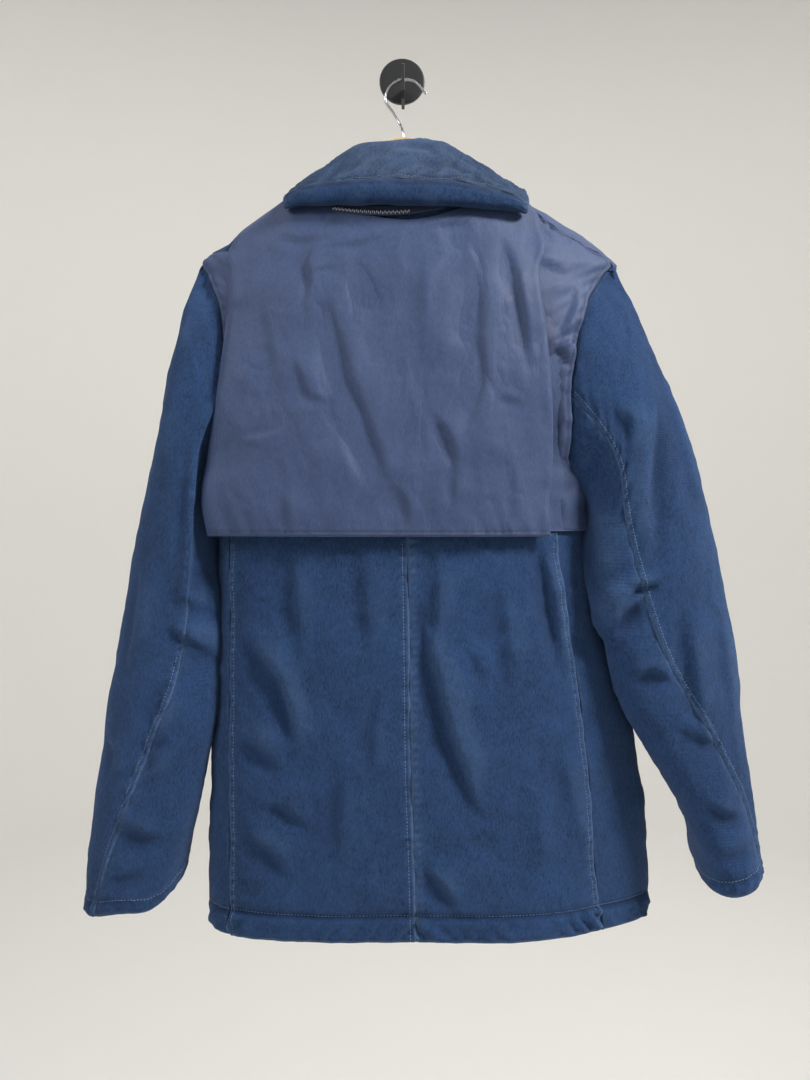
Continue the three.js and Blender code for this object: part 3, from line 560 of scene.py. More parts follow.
PALING = paling_group()
UNEVENNESS = unevenness_group()
CREASING = creasing_group()
print("node groups:", [g.name for g in bpy.data.node_groups])

# %% [markdown]
# ## The finishes
#
# Two cloths make this coat. The body, sleeves and collar are a heavy brushed cotton
# twill, dyed navy and washed until its seams and edges have turned a paler blue. The collar
# has paled most, so its twill is a finish of its own. The cape and the yokes are a smooth
# plain nylon, greyer, with a soft shine. All three use one recipe with other numbers, and
# read two masks that the meshes carry. The first, wear and highlight, is high along seams
# and edges, where the cloth is worn, and on the tops of folds, where it is partly wear and
# partly a painted highlight. The second, seam, is painted shade: it darkens the cloth in
# the grooves along seams and stitch rows, in the troughs of folds and under parts that
# overlap.

# %% A cloth material
def start_material(name):
    material = bpy.data.materials.new(name)
    material.use_nodes = True
    tree = material.node_tree
    shader = tree.nodes["Principled BSDF"]
    return material, tree, shader


def mask_node(tree, name):
    node = tree.nodes.new("ShaderNodeAttribute")
    node.attribute_name = name
    return node.outputs["Fac"]


def cloth_material(name, colour, faded_and_highlight, pitch, slant, fuzz, slow, fine, roughness,
                   sheen, tint, bump, creases, breakup=260.0):
    material, tree, shader = start_material(name)
    place = tree.nodes.new("ShaderNodeTexCoord")
    woven = use_group(tree, WEAVE, Cloth_Place=place.outputs["UV"], Pitch=pitch, Slant=slant, Fuzz=fuzz)
    uneven = use_group(tree, UNEVENNESS, Place=place.outputs["Object"], Cloth=colour, Slow=slow,
                       Fine=fine, Speckle=woven["Speckle"])
    # Painted shade: where the seam mask is high, in seam and stitch grooves, fold troughs and under
    # overlapping parts, the cloth is mixed towards a darker copy of itself.
    with_painted_groove_shade = colour_mix(tree, math_node(tree, "MULTIPLY", mask_node(tree, "seam"), 0.9, clamp=True),
                         uneven["Color"], (colour[0] * 0.4, colour[1] * 0.4, colour[2] * 0.45, 1))
    pale_from_wear_and_highlight = use_group(tree, PALING, Place=place.outputs["Object"], Mask=mask_node(tree, "wear_and_highlight"),
                     Cloth=with_painted_groove_shade, Faded=faded_and_highlight, Breakup=breakup)
    tree.links.new(pale_from_wear_and_highlight["Color"], shader.inputs["Base Color"])
    rougher = math_node(tree, "MULTIPLY_ADD", woven["Speckle"], 0.16, roughness - 0.08)
    tree.links.new(rougher, shader.inputs["Roughness"])
    fill(tree, shader, Sheen_Weight=sheen, Sheen_Roughness=0.45, Sheen_Tint=tint,
         Specular_IOR_Level=0.25)
    raised = bump_node(tree, woven["Height"], bump, pitch * 0.5)
    small = use_group(tree, CREASING, Place=place.outputs["Object"])
    folded = bump_node(tree, small["Height"], creases, 0.0012)
    tree.links.new(folded.outputs["Normal"], raised.inputs["Normal"])
    tree.links.new(raised.outputs["Normal"], shader.inputs["Normal"])
    return material


TWILL = cloth_material("brushed_twill", colour=(0.0215, 0.058, 0.156, 1), faded_and_highlight=(0.115, 0.20, 0.37, 1),
                       pitch=0.0011, slant=0.8, fuzz=1.3, slow=0.5, fine=0.7, roughness=0.9,
                       sheen=0.16, tint=(0.45, 0.62, 1.0, 1), bump=0.9, creases=0.45)
COLLAR_TWILL = cloth_material("washed_collar_twill", colour=(0.040, 0.080, 0.175, 1),
                              faded_and_highlight=(0.16, 0.225, 0.34, 1), pitch=0.0011, slant=0.8, fuzz=1.3,
                              slow=0.8, fine=0.9, roughness=0.9, sheen=0.18,
                              tint=(0.5, 0.66, 1.0, 1), bump=0.9, creases=0.6, breakup=200.0)
NYLON = cloth_material("plain_nylon", colour=(0.053, 0.080, 0.174, 1), faded_and_highlight=(0.088, 0.120, 0.218, 1),
                       pitch=0.0007, slant=0.0, fuzz=0.6, slow=0.16, fine=0.3, roughness=0.55,
                       sheen=0.12, tint=(0.7, 0.78, 1.0, 1), bump=0.25, creases=0.6)


# %% Thread, zip, wood, wire and paint
def plain_material(name, colour, roughness, metallic=0.0, speckle=0.12, scale=900.0, bump=0.15):
    """A finish whose colour and roughness change a little over the surface."""
    material, tree, shader = start_material(name)
    place = tree.nodes.new("ShaderNodeTexCoord")
    grain = noise_node(tree, place.outputs["Object"], scale, 4.0, 0.6)
    dark = tuple(c * (1 - speckle) for c in colour[:3]) + (1,)
    light = tuple(min(1.0, c * (1 + speckle)) for c in colour[:3]) + (1,)
    tree.links.new(colour_mix(tree, grain, dark, light), shader.inputs["Base Color"])
    rougher = math_node(tree, "MULTIPLY_ADD", grain, 0.2, roughness - 0.1)
    tree.links.new(rougher, shader.inputs["Roughness"])
    shader.inputs["Metallic"].default_value = metallic
    raised = bump_node(tree, grain, bump, 0.0002)
    tree.links.new(raised.outputs["Normal"], shader.inputs["Normal"])
    return material


def wood_material():
    """Pale varnished beech: long rings stretched along the arm and short dark flecks."""
    material, tree, shader = start_material("pale_varnished_wood")
    place = tree.nodes.new("ShaderNodeTexCoord")
    stretch = tree.nodes.new("ShaderNodeMapping")
    stretch.inputs["Scale"].default_value = (9.0, 90.0, 90.0)
    tree.links.new(place.outputs["Object"], stretch.inputs["Vector"])
    rings = noise_node(tree, stretch.outputs[0], 2.2, 5.0, 0.6)
    flecks = noise_node(tree, stretch.outputs[0], 11.0, 2.0, 0.5)
    bands = math_node(tree, "FRACT", math_node(tree, "MULTIPLY", rings, 7.0))
    base = colour_mix(tree, bands, (0.60, 0.38, 0.19, 1), (0.72, 0.50, 0.28, 1))
    dark = math_node(tree, "GREATER_THAN", flecks, 0.66)
    fleck_share = math_node(tree, "MULTIPLY", dark, 0.35)
    flecked = colour_mix(tree, fleck_share, base, (0.36, 0.20, 0.09, 1))
    tree.links.new(flecked, shader.inputs["Base Color"])
    tree.links.new(math_node(tree, "MULTIPLY_ADD", rings, 0.2, 0.3), shader.inputs["Roughness"])
    fill(tree, shader, Coat_Weight=0.3, Coat_Roughness=0.25)
    return material


PALE_THREAD = plain_material("washed_blue_thread", (0.15, 0.225, 0.37, 1), 0.75, speckle=0.4)
DARK_THREAD = plain_material("grey_blue_thread", (0.085, 0.112, 0.205, 1), 0.6, speckle=0.3)
ZIP_TAPE_CLOTH = plain_material("zip_tape_weave", (0.026, 0.040, 0.085, 1), 0.85, scale=2500.0)
ZIP_METAL = plain_material("nickel_teeth", (0.74, 0.76, 0.78, 1), 0.35, metallic=0.4, speckle=0.08)
WIRE_METAL = plain_material("bright_wire", (0.66, 0.67, 0.69, 1), 0.24, metallic=1.0, speckle=0.06)
HOOK_PAINT = plain_material("matt_black_paint", (0.018, 0.019, 0.021, 1), 0.5, speckle=0.2, scale=1600.0)
WOOD = wood_material()
print("finishes:", len(bpy.data.materials))

# %% [markdown]
# ## From grids to cloth
#
# A panel is two skins, an outer and an inner one, joined all round. At a free edge both
# skins roll towards each other, which gives the soft round lip of a turned hem. Each
# vertex carries its two masks, and a UV in metres of cloth, so that the weave keeps its
# size and runs down every panel as it was cut.

# %% Mesh builders
def link_mesh(name, vertices, faces, material, uv=None, masks=None, rounded=True):
    """Turns points in millimetres into a mesh, with its UV and masks where it has them."""
    mesh = bpy.data.meshes.new(name)
    mesh.from_pydata((np.asarray(vertices) * METRES).tolist(), [], faces)
    mesh.polygons.foreach_set("use_smooth", [rounded] * len(mesh.polygons))
    if uv is not None:
        layer = mesh.uv_layers.new(name="cloth")
        loops = np.empty(len(mesh.loops), dtype=np.int32)
        mesh.loops.foreach_get("vertex_index", loops)
        layer.data.foreach_set("uv", (np.asarray(uv) * METRES)[loops].astype(np.float32).ravel())
    for label, values in (masks or {}).items():
        attribute = mesh.attributes.new(label, "FLOAT", "POINT")
        attribute.data.foreach_set("value", np.clip(values, 0, 1).astype(np.float32).ravel())
    mesh.materials.append(material)
    mesh.update()
    piece = bpy.data.objects.new(name, mesh)
    bpy.context.scene.collection.objects.link(piece)
    return piece


def wall_faces(high, wide):
    """The quads of a closed wall: outer grid, inner grid and the strips between them."""
    def at(layer, i, j):
        return layer * high * wide + i * wide + j

    faces = []
    for i in range(high - 1):
        for j in range(wide - 1):
            faces.append((at(0, i, j), at(0, i, j + 1), at(0, i + 1, j + 1), at(0, i + 1, j)))
            faces.append((at(1, i, j), at(1, i + 1, j), at(1, i + 1, j + 1), at(1, i, j + 1)))
    for j in range(wide - 1):
        faces.append((at(0, 0, j), at(1, 0, j), at(1, 0, j + 1), at(0, 0, j + 1)))
        top = high - 1
        faces.append((at(0, top, j), at(0, top, j + 1), at(1, top, j + 1), at(1, top, j)))
    for i in range(high - 1):
        faces.append((at(0, i, 0), at(0, i + 1, 0), at(1, i + 1, 0), at(1, i, 0)))
        end = wide - 1
        faces.append((at(0, i, end), at(1, i, end), at(1, i + 1, end), at(0, i + 1, end)))
    return faces


def face_out(vertices, faces):
    """Turns all faces over if the closed mesh faces inwards."""
    quads = np.array(faces)
    a, b, c, d = (vertices[quads[:, k]] for k in range(4))
    volume = np.sum(np.cross(b - a, c - a) * a) + np.sum(np.cross(c - a, d - a) * a)
    return [tuple(reversed(face)) for face in faces] if volume < 0 else faces


def face_out_any(vertices, faces):
    """Like face_out, for meshes whose faces have different numbers of corners."""
    volume = 0.0
    for face in faces:
        a = vertices[face[0]]
        for k in range(1, len(face) - 1):
            volume += float(np.dot(a, np.cross(vertices[face[k]], vertices[face[k + 1]])))
    return [tuple(reversed(face)) for face in faces] if volume < 0 else faces


def ring_faces(rings, sides):
    """The faces of a bar made of equal rings of points, with one face at each end."""
    faces = []
    for i in range(rings - 1):
        for j in range(sides):
            a, b = i * sides + j, i * sides + (j + 1) % sides
            faces.append((a, a + sides, b + sides, b))
    faces.append(tuple(range(sides)))
    faces.append(tuple((rings - 1) * sides + j for j in reversed(range(sides))))
    return faces


def cloth_piece(name, points, normals, relief, cloth, material, distances, wear_and_highlight, seam=None,
                free=("first", "last", "low", "high")):
    """A closed padded wall whose outer skin is the grid moved out by the relief. Its
    free edges are rolled; at the others it is sewn to its neighbour."""
    high, wide = relief.shape
    nearest = np.minimum.reduce([distances[k] for k in free])
    lip = 0.38 * cloth * bell(nearest, 0.6 * cloth)
    outer = points + normals * (relief - lip)[..., None]
    inner = points - normals * (cloth - lip - np.minimum(relief, 0.0) * 0.3)[..., None]
    vertices = np.concatenate([outer.reshape(-1, 3), inner.reshape(-1, 3)])
    faces = face_out(vertices, wall_faces(high, wide))
    uv = np.stack([distances["first"], distances["low"]], axis=-1).reshape(-1, 2)
    # The seam argument is a painted shade mask, high in grooves, fold troughs and under overlapping
    # parts. The wear mask also carries a painted highlight on the tops of folds.
    pale_from_wear_and_highlight = np.concatenate([wear_and_highlight.ravel(), (wear_and_highlight * 0.3).ravel()])
    groove = np.zeros_like(wear_and_highlight) if seam is None else seam
    painted_shade = np.concatenate([groove.ravel(), np.zeros(groove.size)])
    piece = link_mesh(name, vertices, faces, material, np.concatenate([uv, uv]),
                      {"wear_and_highlight": pale_from_wear_and_highlight, "seam": painted_shade})
    return piece, outer


def crest_paling_and_trough_shade(shape, tall=3.0):
    """Two masks: the tops of folds are made paler, partly as washing wear and partly as a painted
    highlight, and their troughs darker, as painted shade with a little dye kept there.
    """
    return 0.35 * smooth(shape / tall - 0.2), 0.4 * smooth(-shape / tall - 0.1)


def edge_wear(distances, edges, width=2.2, level=1.0):
    """A mask that is high along the named edges."""
    mask = np.zeros_like(distances["low"])
    for edge in edges:
        mask = np.maximum(mask, level * bell(distances[edge], width))
    return mask


def trim(points, edges):
    """Moves a grid's edge columns or rows in by LAP, which is out where LAP is negative."""
    points = points.copy()
    for edge in edges:
        view = points.swapaxes(0, 1) if edge in ("first", "last") else points
        view = view if edge in ("first", "low") else view[::-1]
        view[0] += unit(view[2] - view[0]) * LAP
    return points


def laid_out(points, edges=()):
    """A trimmed grid with its edge distances and its two coordinates in the hanging plane."""
    points = trim(points, edges)
    return points, edge_distances(points), points[..., 0], points[..., 2]


# %% Thread
THREAD_ROWS = {"body_thread": [], "cape_thread": []}


def line_off_edge(points, normals, distances, edge, far):
    """The line on a grid that runs at one distance from one of its edges."""
    field = distances[edge]
    if edge in ("low", "high"):
        points, normals, field = points.swapaxes(0, 1), normals.swapaxes(0, 1), field.T
    line, up = [], []
    for row, direction, d in zip(points, normals, field):
        order = np.argsort(d)
        line.append([np.interp(far, d[order], row[order, k]) for k in range(3)])
        up.append([np.interp(far, d[order], direction[order, k]) for k in range(3)])
    return np.array(line), unit(np.array(up))


def sew(spool, points, normals, distances, edge, far, share=(0.0, 1.0)):
    """Adds a row of stitches to a spool, between two shares of the edge's length."""
    line, up = line_off_edge(points, normals, distances, edge, far)
    first, last = (round(s * (len(line) - 1)) for s in share)
    THREAD_ROWS[spool].append((line[first:last + 1], up[first:last + 1]))


def stitch_mesh(name, rows, material, pitch=3.4, length=2.6, radius=0.4):
    """Every stitch is a small grain of thread that dips into the cloth at both ends."""
    sides = 5
    # place along the stitch, share of its radius, height over the cloth
    profile = ((-0.5, 0.35, -0.25), (-0.2, 1.0, 0.12), (0.2, 1.0, 0.12), (0.5, 0.35, -0.25))
    vertices, faces = [], []
    for line, up in rows:
        lengths = np.linalg.norm(np.diff(line, axis=0), axis=1)
        run = np.concatenate([[0.0], np.cumsum(lengths)])
        centres = np.arange(pitch / 2, run[-1] - pitch / 2, pitch)

        def on_line(values, at):
            return np.stack([np.interp(at, run, values[:, k]) for k in range(3)], axis=-1)

        along = unit(on_line(line, centres + 0.8) - on_line(line, centres - 0.8))
        lift = unit(on_line(up, centres))
        side = np.cross(along, lift)
        for s in range(len(centres)):
            start = len(vertices)
            middle = on_line(line, centres[s:s + 1])[0]
            for place, fat, height in profile:
                ring = middle + along[s] * place * length + lift[s] * height
                for k in range(sides):
                    turn = 2 * math.pi * k / sides
                    spoke = side[s] * math.cos(turn) + lift[s] * math.sin(turn)
                    vertices.append(ring + radius * fat * spoke)
            for r in range(len(profile) - 1):
                for k in range(sides):
                    a = start + r * sides + k
                    b = start + r * sides + (k + 1) % sides
                    faces.append((a, b, b + sides, a + sides))
            faces.append(tuple(start + k for k in reversed(range(sides))))
            end = start + (len(profile) - 1) * sides
            faces.append(tuple(end + k for k in range(sides)))
    return link_mesh(name, np.array(vertices), faces, material)


def settle(piece, slot, *nodes):
    """Every piece rides on the one body and stands for its CAD nodes, which are hidden. The slot is not
    used.
    """
    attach(piece, "root")
    if nodes:
        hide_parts(*nodes)


print("ready to sew")

# %% [markdown]
# ## The back panels
#
# Two wadded twill panels meet in the centre-back seam. Each runs from that seam to the
# side seam, and above it to the armhole and the shoulder seam. The seam is topstitched
# on its left. The hem is turned up once and stitched, and because the turned layer is a
# little too long the band ropes: short slanting wrinkles run between stitch and edge.
# The long folds below the cape come from the shoulders' pull and from being worn.

# %% Folds of the back, drawn in the hanging plane
BACK_FOLDS = (
    # depth, width, ridge, line of (x, z)
    (4.6, 7, 0.9, ((12, -556), (26, -630), (44, -702), (66, -760), (92, -806))),
    (2.8, 6, 0.8, ((15, -826), (36, -850), (58, -876))),
    (3.4, 7, 0.9, ((-170, -596), (-146, -622), (-123, -654), (-101, -716))),
    (2.2, 6, 0.9, ((-128, -640), (-112, -690), (-110, -730))),
    (2.6, 7, 0.8, ((-170, -702), (-145, -716), (-118, -740))),
    (2.4, 7, 0.8, ((-166, -797), (-134, -818), (-106, -849))),
    (2.0, 6, 0.8, ((-150, -770), (-120, -776), (-84, -800))),
    (2.2, 8, 0.8, ((-112, -508), (-110, -570), (-100, -640))),
    (2.2, 8, 0.8, ((-45, -508), (-43, -570), (-34, -640))),
    (2.4, 7, 0.8, ((33, -505), (29, -566), (30, -632))),
    (2.2, 9, 0.6, ((88, -520), (96, -600), (110, -690))),
    (4.6, 6, 0.9, ((134, -500), (144, -552), (153, -606), (160, -652))),
    (2.2, 8, 0.7, ((150, -700), (160, -760), (178, -830))),
    (1.8, 9, 0.7, ((-60, -720), (-70, -790), (-66, -850))),
    (1.8, 9, 0.7, ((120, -740), (128, -800), (126, -856))),
    (1.8, 6, 0.8, ((-20, -640), (-34, -700), (-30, -760))),
    (1.6, 6, 0.8, ((60, -610), (76, -640), (98, -652))),
)
BACK_HALF_WIDTH = 190.0
BACK_PITCH, FRONT_PITCH = 4.2, 5.2      # between two rows of a grid
BACK_CLOTH, LIGHT_CLOTH = 6.0, 5.0      # thickness of a wadded wall
HEM_STITCH = 27.0
HEM_ROPING = 19.0                       # from one roping wrinkle to the next
SEAM_STITCH, OUTER_STITCH = 6.0, 6.5    # from a seam to its topstitching
PUFF = 1.3                # how far wadding lifts a panel away from its seams
SIDE_RELIEF = 0.2         # what is left of a hem's relief where a tube turns aside


def broadside(normals):
    """1 on the broad back and front, falling to SIDE_RELIEF where a tube turns aside."""
    return SIDE_RELIEF + (1 - SIDE_RELIEF) * smooth((np.abs(normals[..., 1]) - 0.15) / 0.5)


def puff(distances, reach=16):
    """Wadding lifts a panel between its first and last columns."""
    return PUFF * (1 - np.exp(-np.minimum(distances["first"], distances["last"]) / reach))


def hem_band(distances, normals, seed):
    """A turned hem: a stitch row and, below it, slanting roping wrinkles."""
    low, along = distances["low"], distances["first"]
    inside = smooth(low / 5) * smooth((HEM_STITCH - low) / 6)
    roping = np.sin(2 * math.pi * (along + 0.9 * low) / HEM_ROPING + 2.2 * wander(along / 27, seed))
    strength = 0.7 + 0.7 * wander(along / 40, seed + 3)
    stitch_groove = -2.6 * bell(low - HEM_STITCH, 2.2)
    above = 0.9 * pucker(np.maximum(low - HEM_STITCH, 0), along, 14, 16, seed, 0.7)
    above = above * smooth((low - HEM_STITCH) / 3)
    band = stitch_groove + inside * (1.5 + 2.6 * roping * strength) + above
    return seam_dip(low, 1.6, 2.2) + band * broadside(normals)


def panel_rows(pitch):
    """Heights below the yoke seam, close together at the hem."""
    tall = YOKE_SEAM_Z - HEM_Z
    return HEM_Z + tall * spaced(tall, pitch)[:-len(NEAR_EDGE)]


def upper_shares(pitch):
    """Shares from the yoke seam to the neck, close together at the neck."""
    tall = NECK_SIDE - YOKE_SEAM_Z
    near_neck = 1 - NEAR_EDGE[::-1] / tall
    return np.concatenate([np.linspace(0, near_neck[0], round(tall / pitch))[:-1], near_neck])


def wrinkles(x, z, seed):
    """The unevenness of washed wadded twill, from broad swells down to small creases."""
    return (1.0 * dapple(x, z, 86, seed) + 0.5 * dapple(x, z, 36, seed + 1)
            + 0.9 * crinkle(x * 1.3, z * 0.8, 52, seed + 2) + 0.3 * dapple(x, z, 13, seed + 3))


def seam_fade(distance, along, stitch, seed):
    """Dye rubs off along a seam's edge and on the tops of its puckers."""
    tops = smooth(0.35 + pucker(np.abs(distance - stitch), along, 9.0, 7.0, seed, 0.45))
    beside = 0.9 * tops * bell(distance - stitch * 0.6, stitch * 0.8)
    return np.maximum(1.7 * bell(distance - 0.8, 1.4), beside)


def fold_hollow(x, z):
    """The back falls away beside the cape's right-hand fold."""
    return 7.0 * bell(x - 153, 9) * smooth((-300 - z) / 80)


def back_panel(side):
    sign = 1.0 if side == "right" else -1.0
    u = spaced(BACK_HALF_WIDTH, 4.0)
    t_low, z_low = np.meshgrid(sign * 2 * u, panel_rows(BACK_PITCH))
    t_high, v = np.meshgrid(sign * 2 * u, upper_shares(BACK_PITCH))
    z_high = mix(YOKE_SEAM_Z, neck_height(t_high), v)
    t, z = np.concatenate([t_low, t_high]), np.concatenate([z_low, z_high])
    points, normals = body_spot(t, z)
    points, d, x, up = laid_out(points, ("first", "last"))

    covered = smooth((z - CAPE_HEM_Z - 6) / 20)
    small = wrinkles(x, up, 3 if side == "left" else 6)
    creased = 1.3 * folds(x, up, BACK_FOLDS)
    tops, trough_shade_and_dye = crest_paling_and_trough_shade((creased + 0.6 * small) * (1 - covered))
    shape = creased + small + puff(d)
    if side == "left":
        centre = stitched_edge(d["first"], up, SEAM_STITCH, 1.2, 0.4, 11)
    else:
        centre = (seam_dip(d["first"], 1.2)
                  + 0.6 * pucker(d["first"], up, 24, 20, 12) * smooth(d["first"] / 4))
    outer_seam = stitched_edge(d["last"], up, OUTER_STITCH, 1.2, 0.6, 13 if side == "left" else 14)
    relief = shape + centre + outer_seam + hem_band(d, normals, 15 if side == "left" else 16)
    if side == "right":
        # Just under the cape's hem the right edge lies deeper.
        relief = relief - 3.0 * bell(d["last"] - 8, 13) * smooth((z + 500) / 8)
    quiet = seam_dip(d["first"], 1.0) + seam_dip(d["last"], 1.0) - 0.9
    quiet = quiet - (fold_hollow(x, up) if side == "right" else 0.0)
    relief = mix(relief, quiet, covered)
    relief = relief - 2.0 * smooth((z + 175) / 20)

    centre_fade = 0.9 if side == "right" else 0.55
    # Paler at the seams and the hem from wear, and on the tops of folds partly as a painted highlight.
    wear_and_highlight = np.maximum.reduce([
        seam_fade(d["last"], up, OUTER_STITCH, 13),
        centre_fade * seam_fade(d["first"], up, SEAM_STITCH, 11),
        0.7 * bell(d["low"] - 1, 2.6), 0.4 * bell(d["low"] - HEM_STITCH - 2, 1.5), tops])
    # Painted shade in the hem's stitch groove, in fold troughs and along the side seam.
    groove = np.maximum.reduce([0.95 * bell(d["low"] - HEM_STITCH + 1, 2.2), trough_shade_and_dye,
                                0.7 * bell(d["last"], 0.7)])
    piece, outer = cloth_piece(f"back_{side}_panel", points, normals, relief, BACK_CLOTH, TWILL,
                               d, wear_and_highlight, groove, free=("low",))
    settle(piece, "twill", f"back_{side}")

    visible = float(np.mean(z[:, 0] < CAPE_HEM_Z - 2))
    sew("body_thread", outer, normals, d, "low", HEM_STITCH)
    sew("body_thread", outer, normals, d, "last", OUTER_STITCH, (0.005, visible))
    if side == "left":
        sew("body_thread", outer, normals, d, "first", SEAM_STITCH, (0.005, visible))
    return piece


back_pieces = [back_panel(side) for side in ("left", "right")]
print("back panels:", [len(p.data.polygons) for p in back_pieces])

# %% [markdown]
# ## The fronts, the front yokes and the fly
#
# The fronts hang against the wall and mostly can't be seen. They are worked like the
# back, with their own folds, since the part may be turned round. From the chest up the
# front is plain nylon, like the cape. A twill strip, the fly, covers the closed front.

# %% Fronts
FRONT_FOLDS = (
    # depth, width, ridge, line of (x, z)
    (2.4, 10, 0.6, ((-128, -470), (-120, -560), (-104, -660))),
    (2.0, 10, 0.6, ((-84, -520), (-88, -640), (-70, -760))),
    (2.2, 10, 0.6, ((118, -470), (122, -580), (140, -690))),
    (1.8, 10, 0.6, ((90, -600), (98, -700), (120, -800))),
    (1.8, 9, 0.5, ((-160, -690), (-120, -740), (-96, -800))),
    (1.8, 9, 0.5, ((196, -700), (160, -760), (120, -842))),
)
FRONT_WIDTH = 235.0


YOKE_STITCH, YOKE_FRONT_STITCH = 5.0, 6.0


def front_spot(side, u, z):
    """A spot of the front and its normal: u runs from the outer edge to the centre."""
    return body_spot(mix(front_start(side, z), CENTRE_FRONT, u), z)


def front_panel(side):
    rows = np.concatenate([panel_rows(FRONT_PITCH), YOKE_SEAM_Z - NEAR_EDGE[::-1]])
    u, z = np.meshgrid(spaced(FRONT_WIDTH, FRONT_PITCH), rows)
    points, normals = front_spot(side, u, z)
    points, d, x, up = laid_out(points, ("first", "last", "high"))
    relief = (folds(x, up, FRONT_FOLDS) + wrinkles(x, up, 21) + puff(d) + seam_dip(d["first"], 1.2)
              + 0.8 * pucker(d["first"], up, 20, 16, 23) * smooth(d["first"] / 4)
              + seam_dip(d["last"], 1.0) + seam_dip(d["high"], 1.2)
              + 0.4 * pucker(d["high"], x, 12, 10, 24) + hem_band(d, normals, 25))
    wear_and_highlight = np.maximum.reduce([0.5 * bell(d["first"] - 1, 1.6), 0.7 * bell(d["low"] - 1, 2.6),
                              0.4 * bell(d["high"] - 1, 2.0)])
    # Painted shade in the front seam's groove and the hem's stitch groove.
    groove = np.maximum(0.9 * bell(d["first"], 1.6), 0.95 * bell(d["low"] - HEM_STITCH + 1, 2.2))
    piece, outer = cloth_piece(f"front_{side}_panel", points, normals, relief, LIGHT_CLOTH, TWILL,
                               d, wear_and_highlight, groove, free=("low",))
    settle(piece, "twill", f"front_{side}")
    sew("body_thread", outer, normals, d, "low", HEM_STITCH)
    return piece


def front_yoke(side):
    u, v = np.meshgrid(spaced(FRONT_WIDTH, FRONT_PITCH), spaced(NECK_SIDE - YOKE_SEAM_Z, FRONT_PITCH))
    z = mix(YOKE_SEAM_Z, neck_height(mix(SIDE_SEAM[side], CENTRE_FRONT, u)), v)
    points, normals = front_spot(side, u, z)
    points, d, x, up = laid_out(points, ("first", "last", "low"))
    relief = (0.6 * dapple(x, up, 46, 31)
              + stitched_edge(d["first"], up, YOKE_FRONT_STITCH, 2.4, 0.8, 35)
              + seam_dip(d["last"], 1.0) + stitched_edge(d["low"], x, YOKE_STITCH, 1.2, 0.5, 32)
              + 0.4 * pucker(d["first"], up, 11, 12, 33) + 0.5 * crinkle(x, up, 40, 34)
              - 2.0 * smooth((up + 175) / 20) * bell(d["high"], 12))
    wear_and_highlight = edge_wear(d, ("first", "low"), level=0.5)
    # Painted shade in the seam and stitch grooves.
    groove = np.maximum.reduce([bell(d["first"], 2.4), 0.6 * bell(d["first"] - YOKE_FRONT_STITCH, 1.0),
                                bell(d["low"], 1.0)])
    piece, outer = cloth_piece(f"front_yoke_{side}_panel", points, normals, relief, LIGHT_CLOTH,
                               NYLON, d, wear_and_highlight, groove, free=("high",))
    settle(piece, "nylon", f"front_yoke_{side}")
    sew("cape_thread", outer, normals, d, "low", YOKE_STITCH)
    sew("cape_thread", outer, normals, d, "first", YOKE_FRONT_STITCH)
    return piece


front_pieces = [front_panel(side) for side in ("left", "right")]
yoke_pieces = [front_yoke(side) for side in ("left", "right")]


# %% The fly
FLY_WIDTH, FLY_TOP_Z, FLY_LIFT, FLY_STITCH = 68.0, -262.0, 6.0, 7.0


def front_fly():
    u, v = np.meshgrid(spaced(FLY_WIDTH, 4.5) * 2 - 1, spaced(FLY_TOP_Z - HEM_Z, 6))
    z = mix(HEM_Z, FLY_TOP_Z, v)
    middle = body_point(np.full(z.shape, CENTRE_FRONT), z)
    points = middle + np.stack([u * FLY_WIDTH / 2, np.full(u.shape, SEAM_GAP + FLY_LIFT),
                                np.zeros(u.shape)], axis=-1)
    normals = np.broadcast_to(np.array((0.0, 1.0, 0.0)), points.shape).copy()
    points, d, x, up = laid_out(points)
    sides = np.minimum(d["first"], d["last"])
    relief = 0.5 * dapple(x, up, 40, 41) + stitched_edge(sides, up, FLY_STITCH, 1.0, 0.4, 42)
    relief = np.minimum(relief, 0.9)
    wear_and_highlight = edge_wear(d, ("first", "last", "low", "high"), level=0.6)
    piece, outer = cloth_piece("front_fly_strip", points, normals, relief, LIGHT_CLOTH, TWILL, d, wear_and_highlight)
    settle(piece, "twill", "front_fly")
    for edge in ("first", "last"):
        sew("body_thread", outer, normals, d, edge, FLY_STITCH)
    return piece


fly_piece = front_fly()
print("fronts and fly are on")

# %% [markdown]
# ## The cape and its under-layers
#
# The storm cape is a single thin nylon sheet, caught in the neck, folded under at both
# sides and hemmed below. It stands away from the back on air, so its folds are broad
# and soft and its hem swings clear. Beyond each folded edge a second nylon layer lies
# flat on the back and is caught in the armhole. Its edge there is topstitched twice.

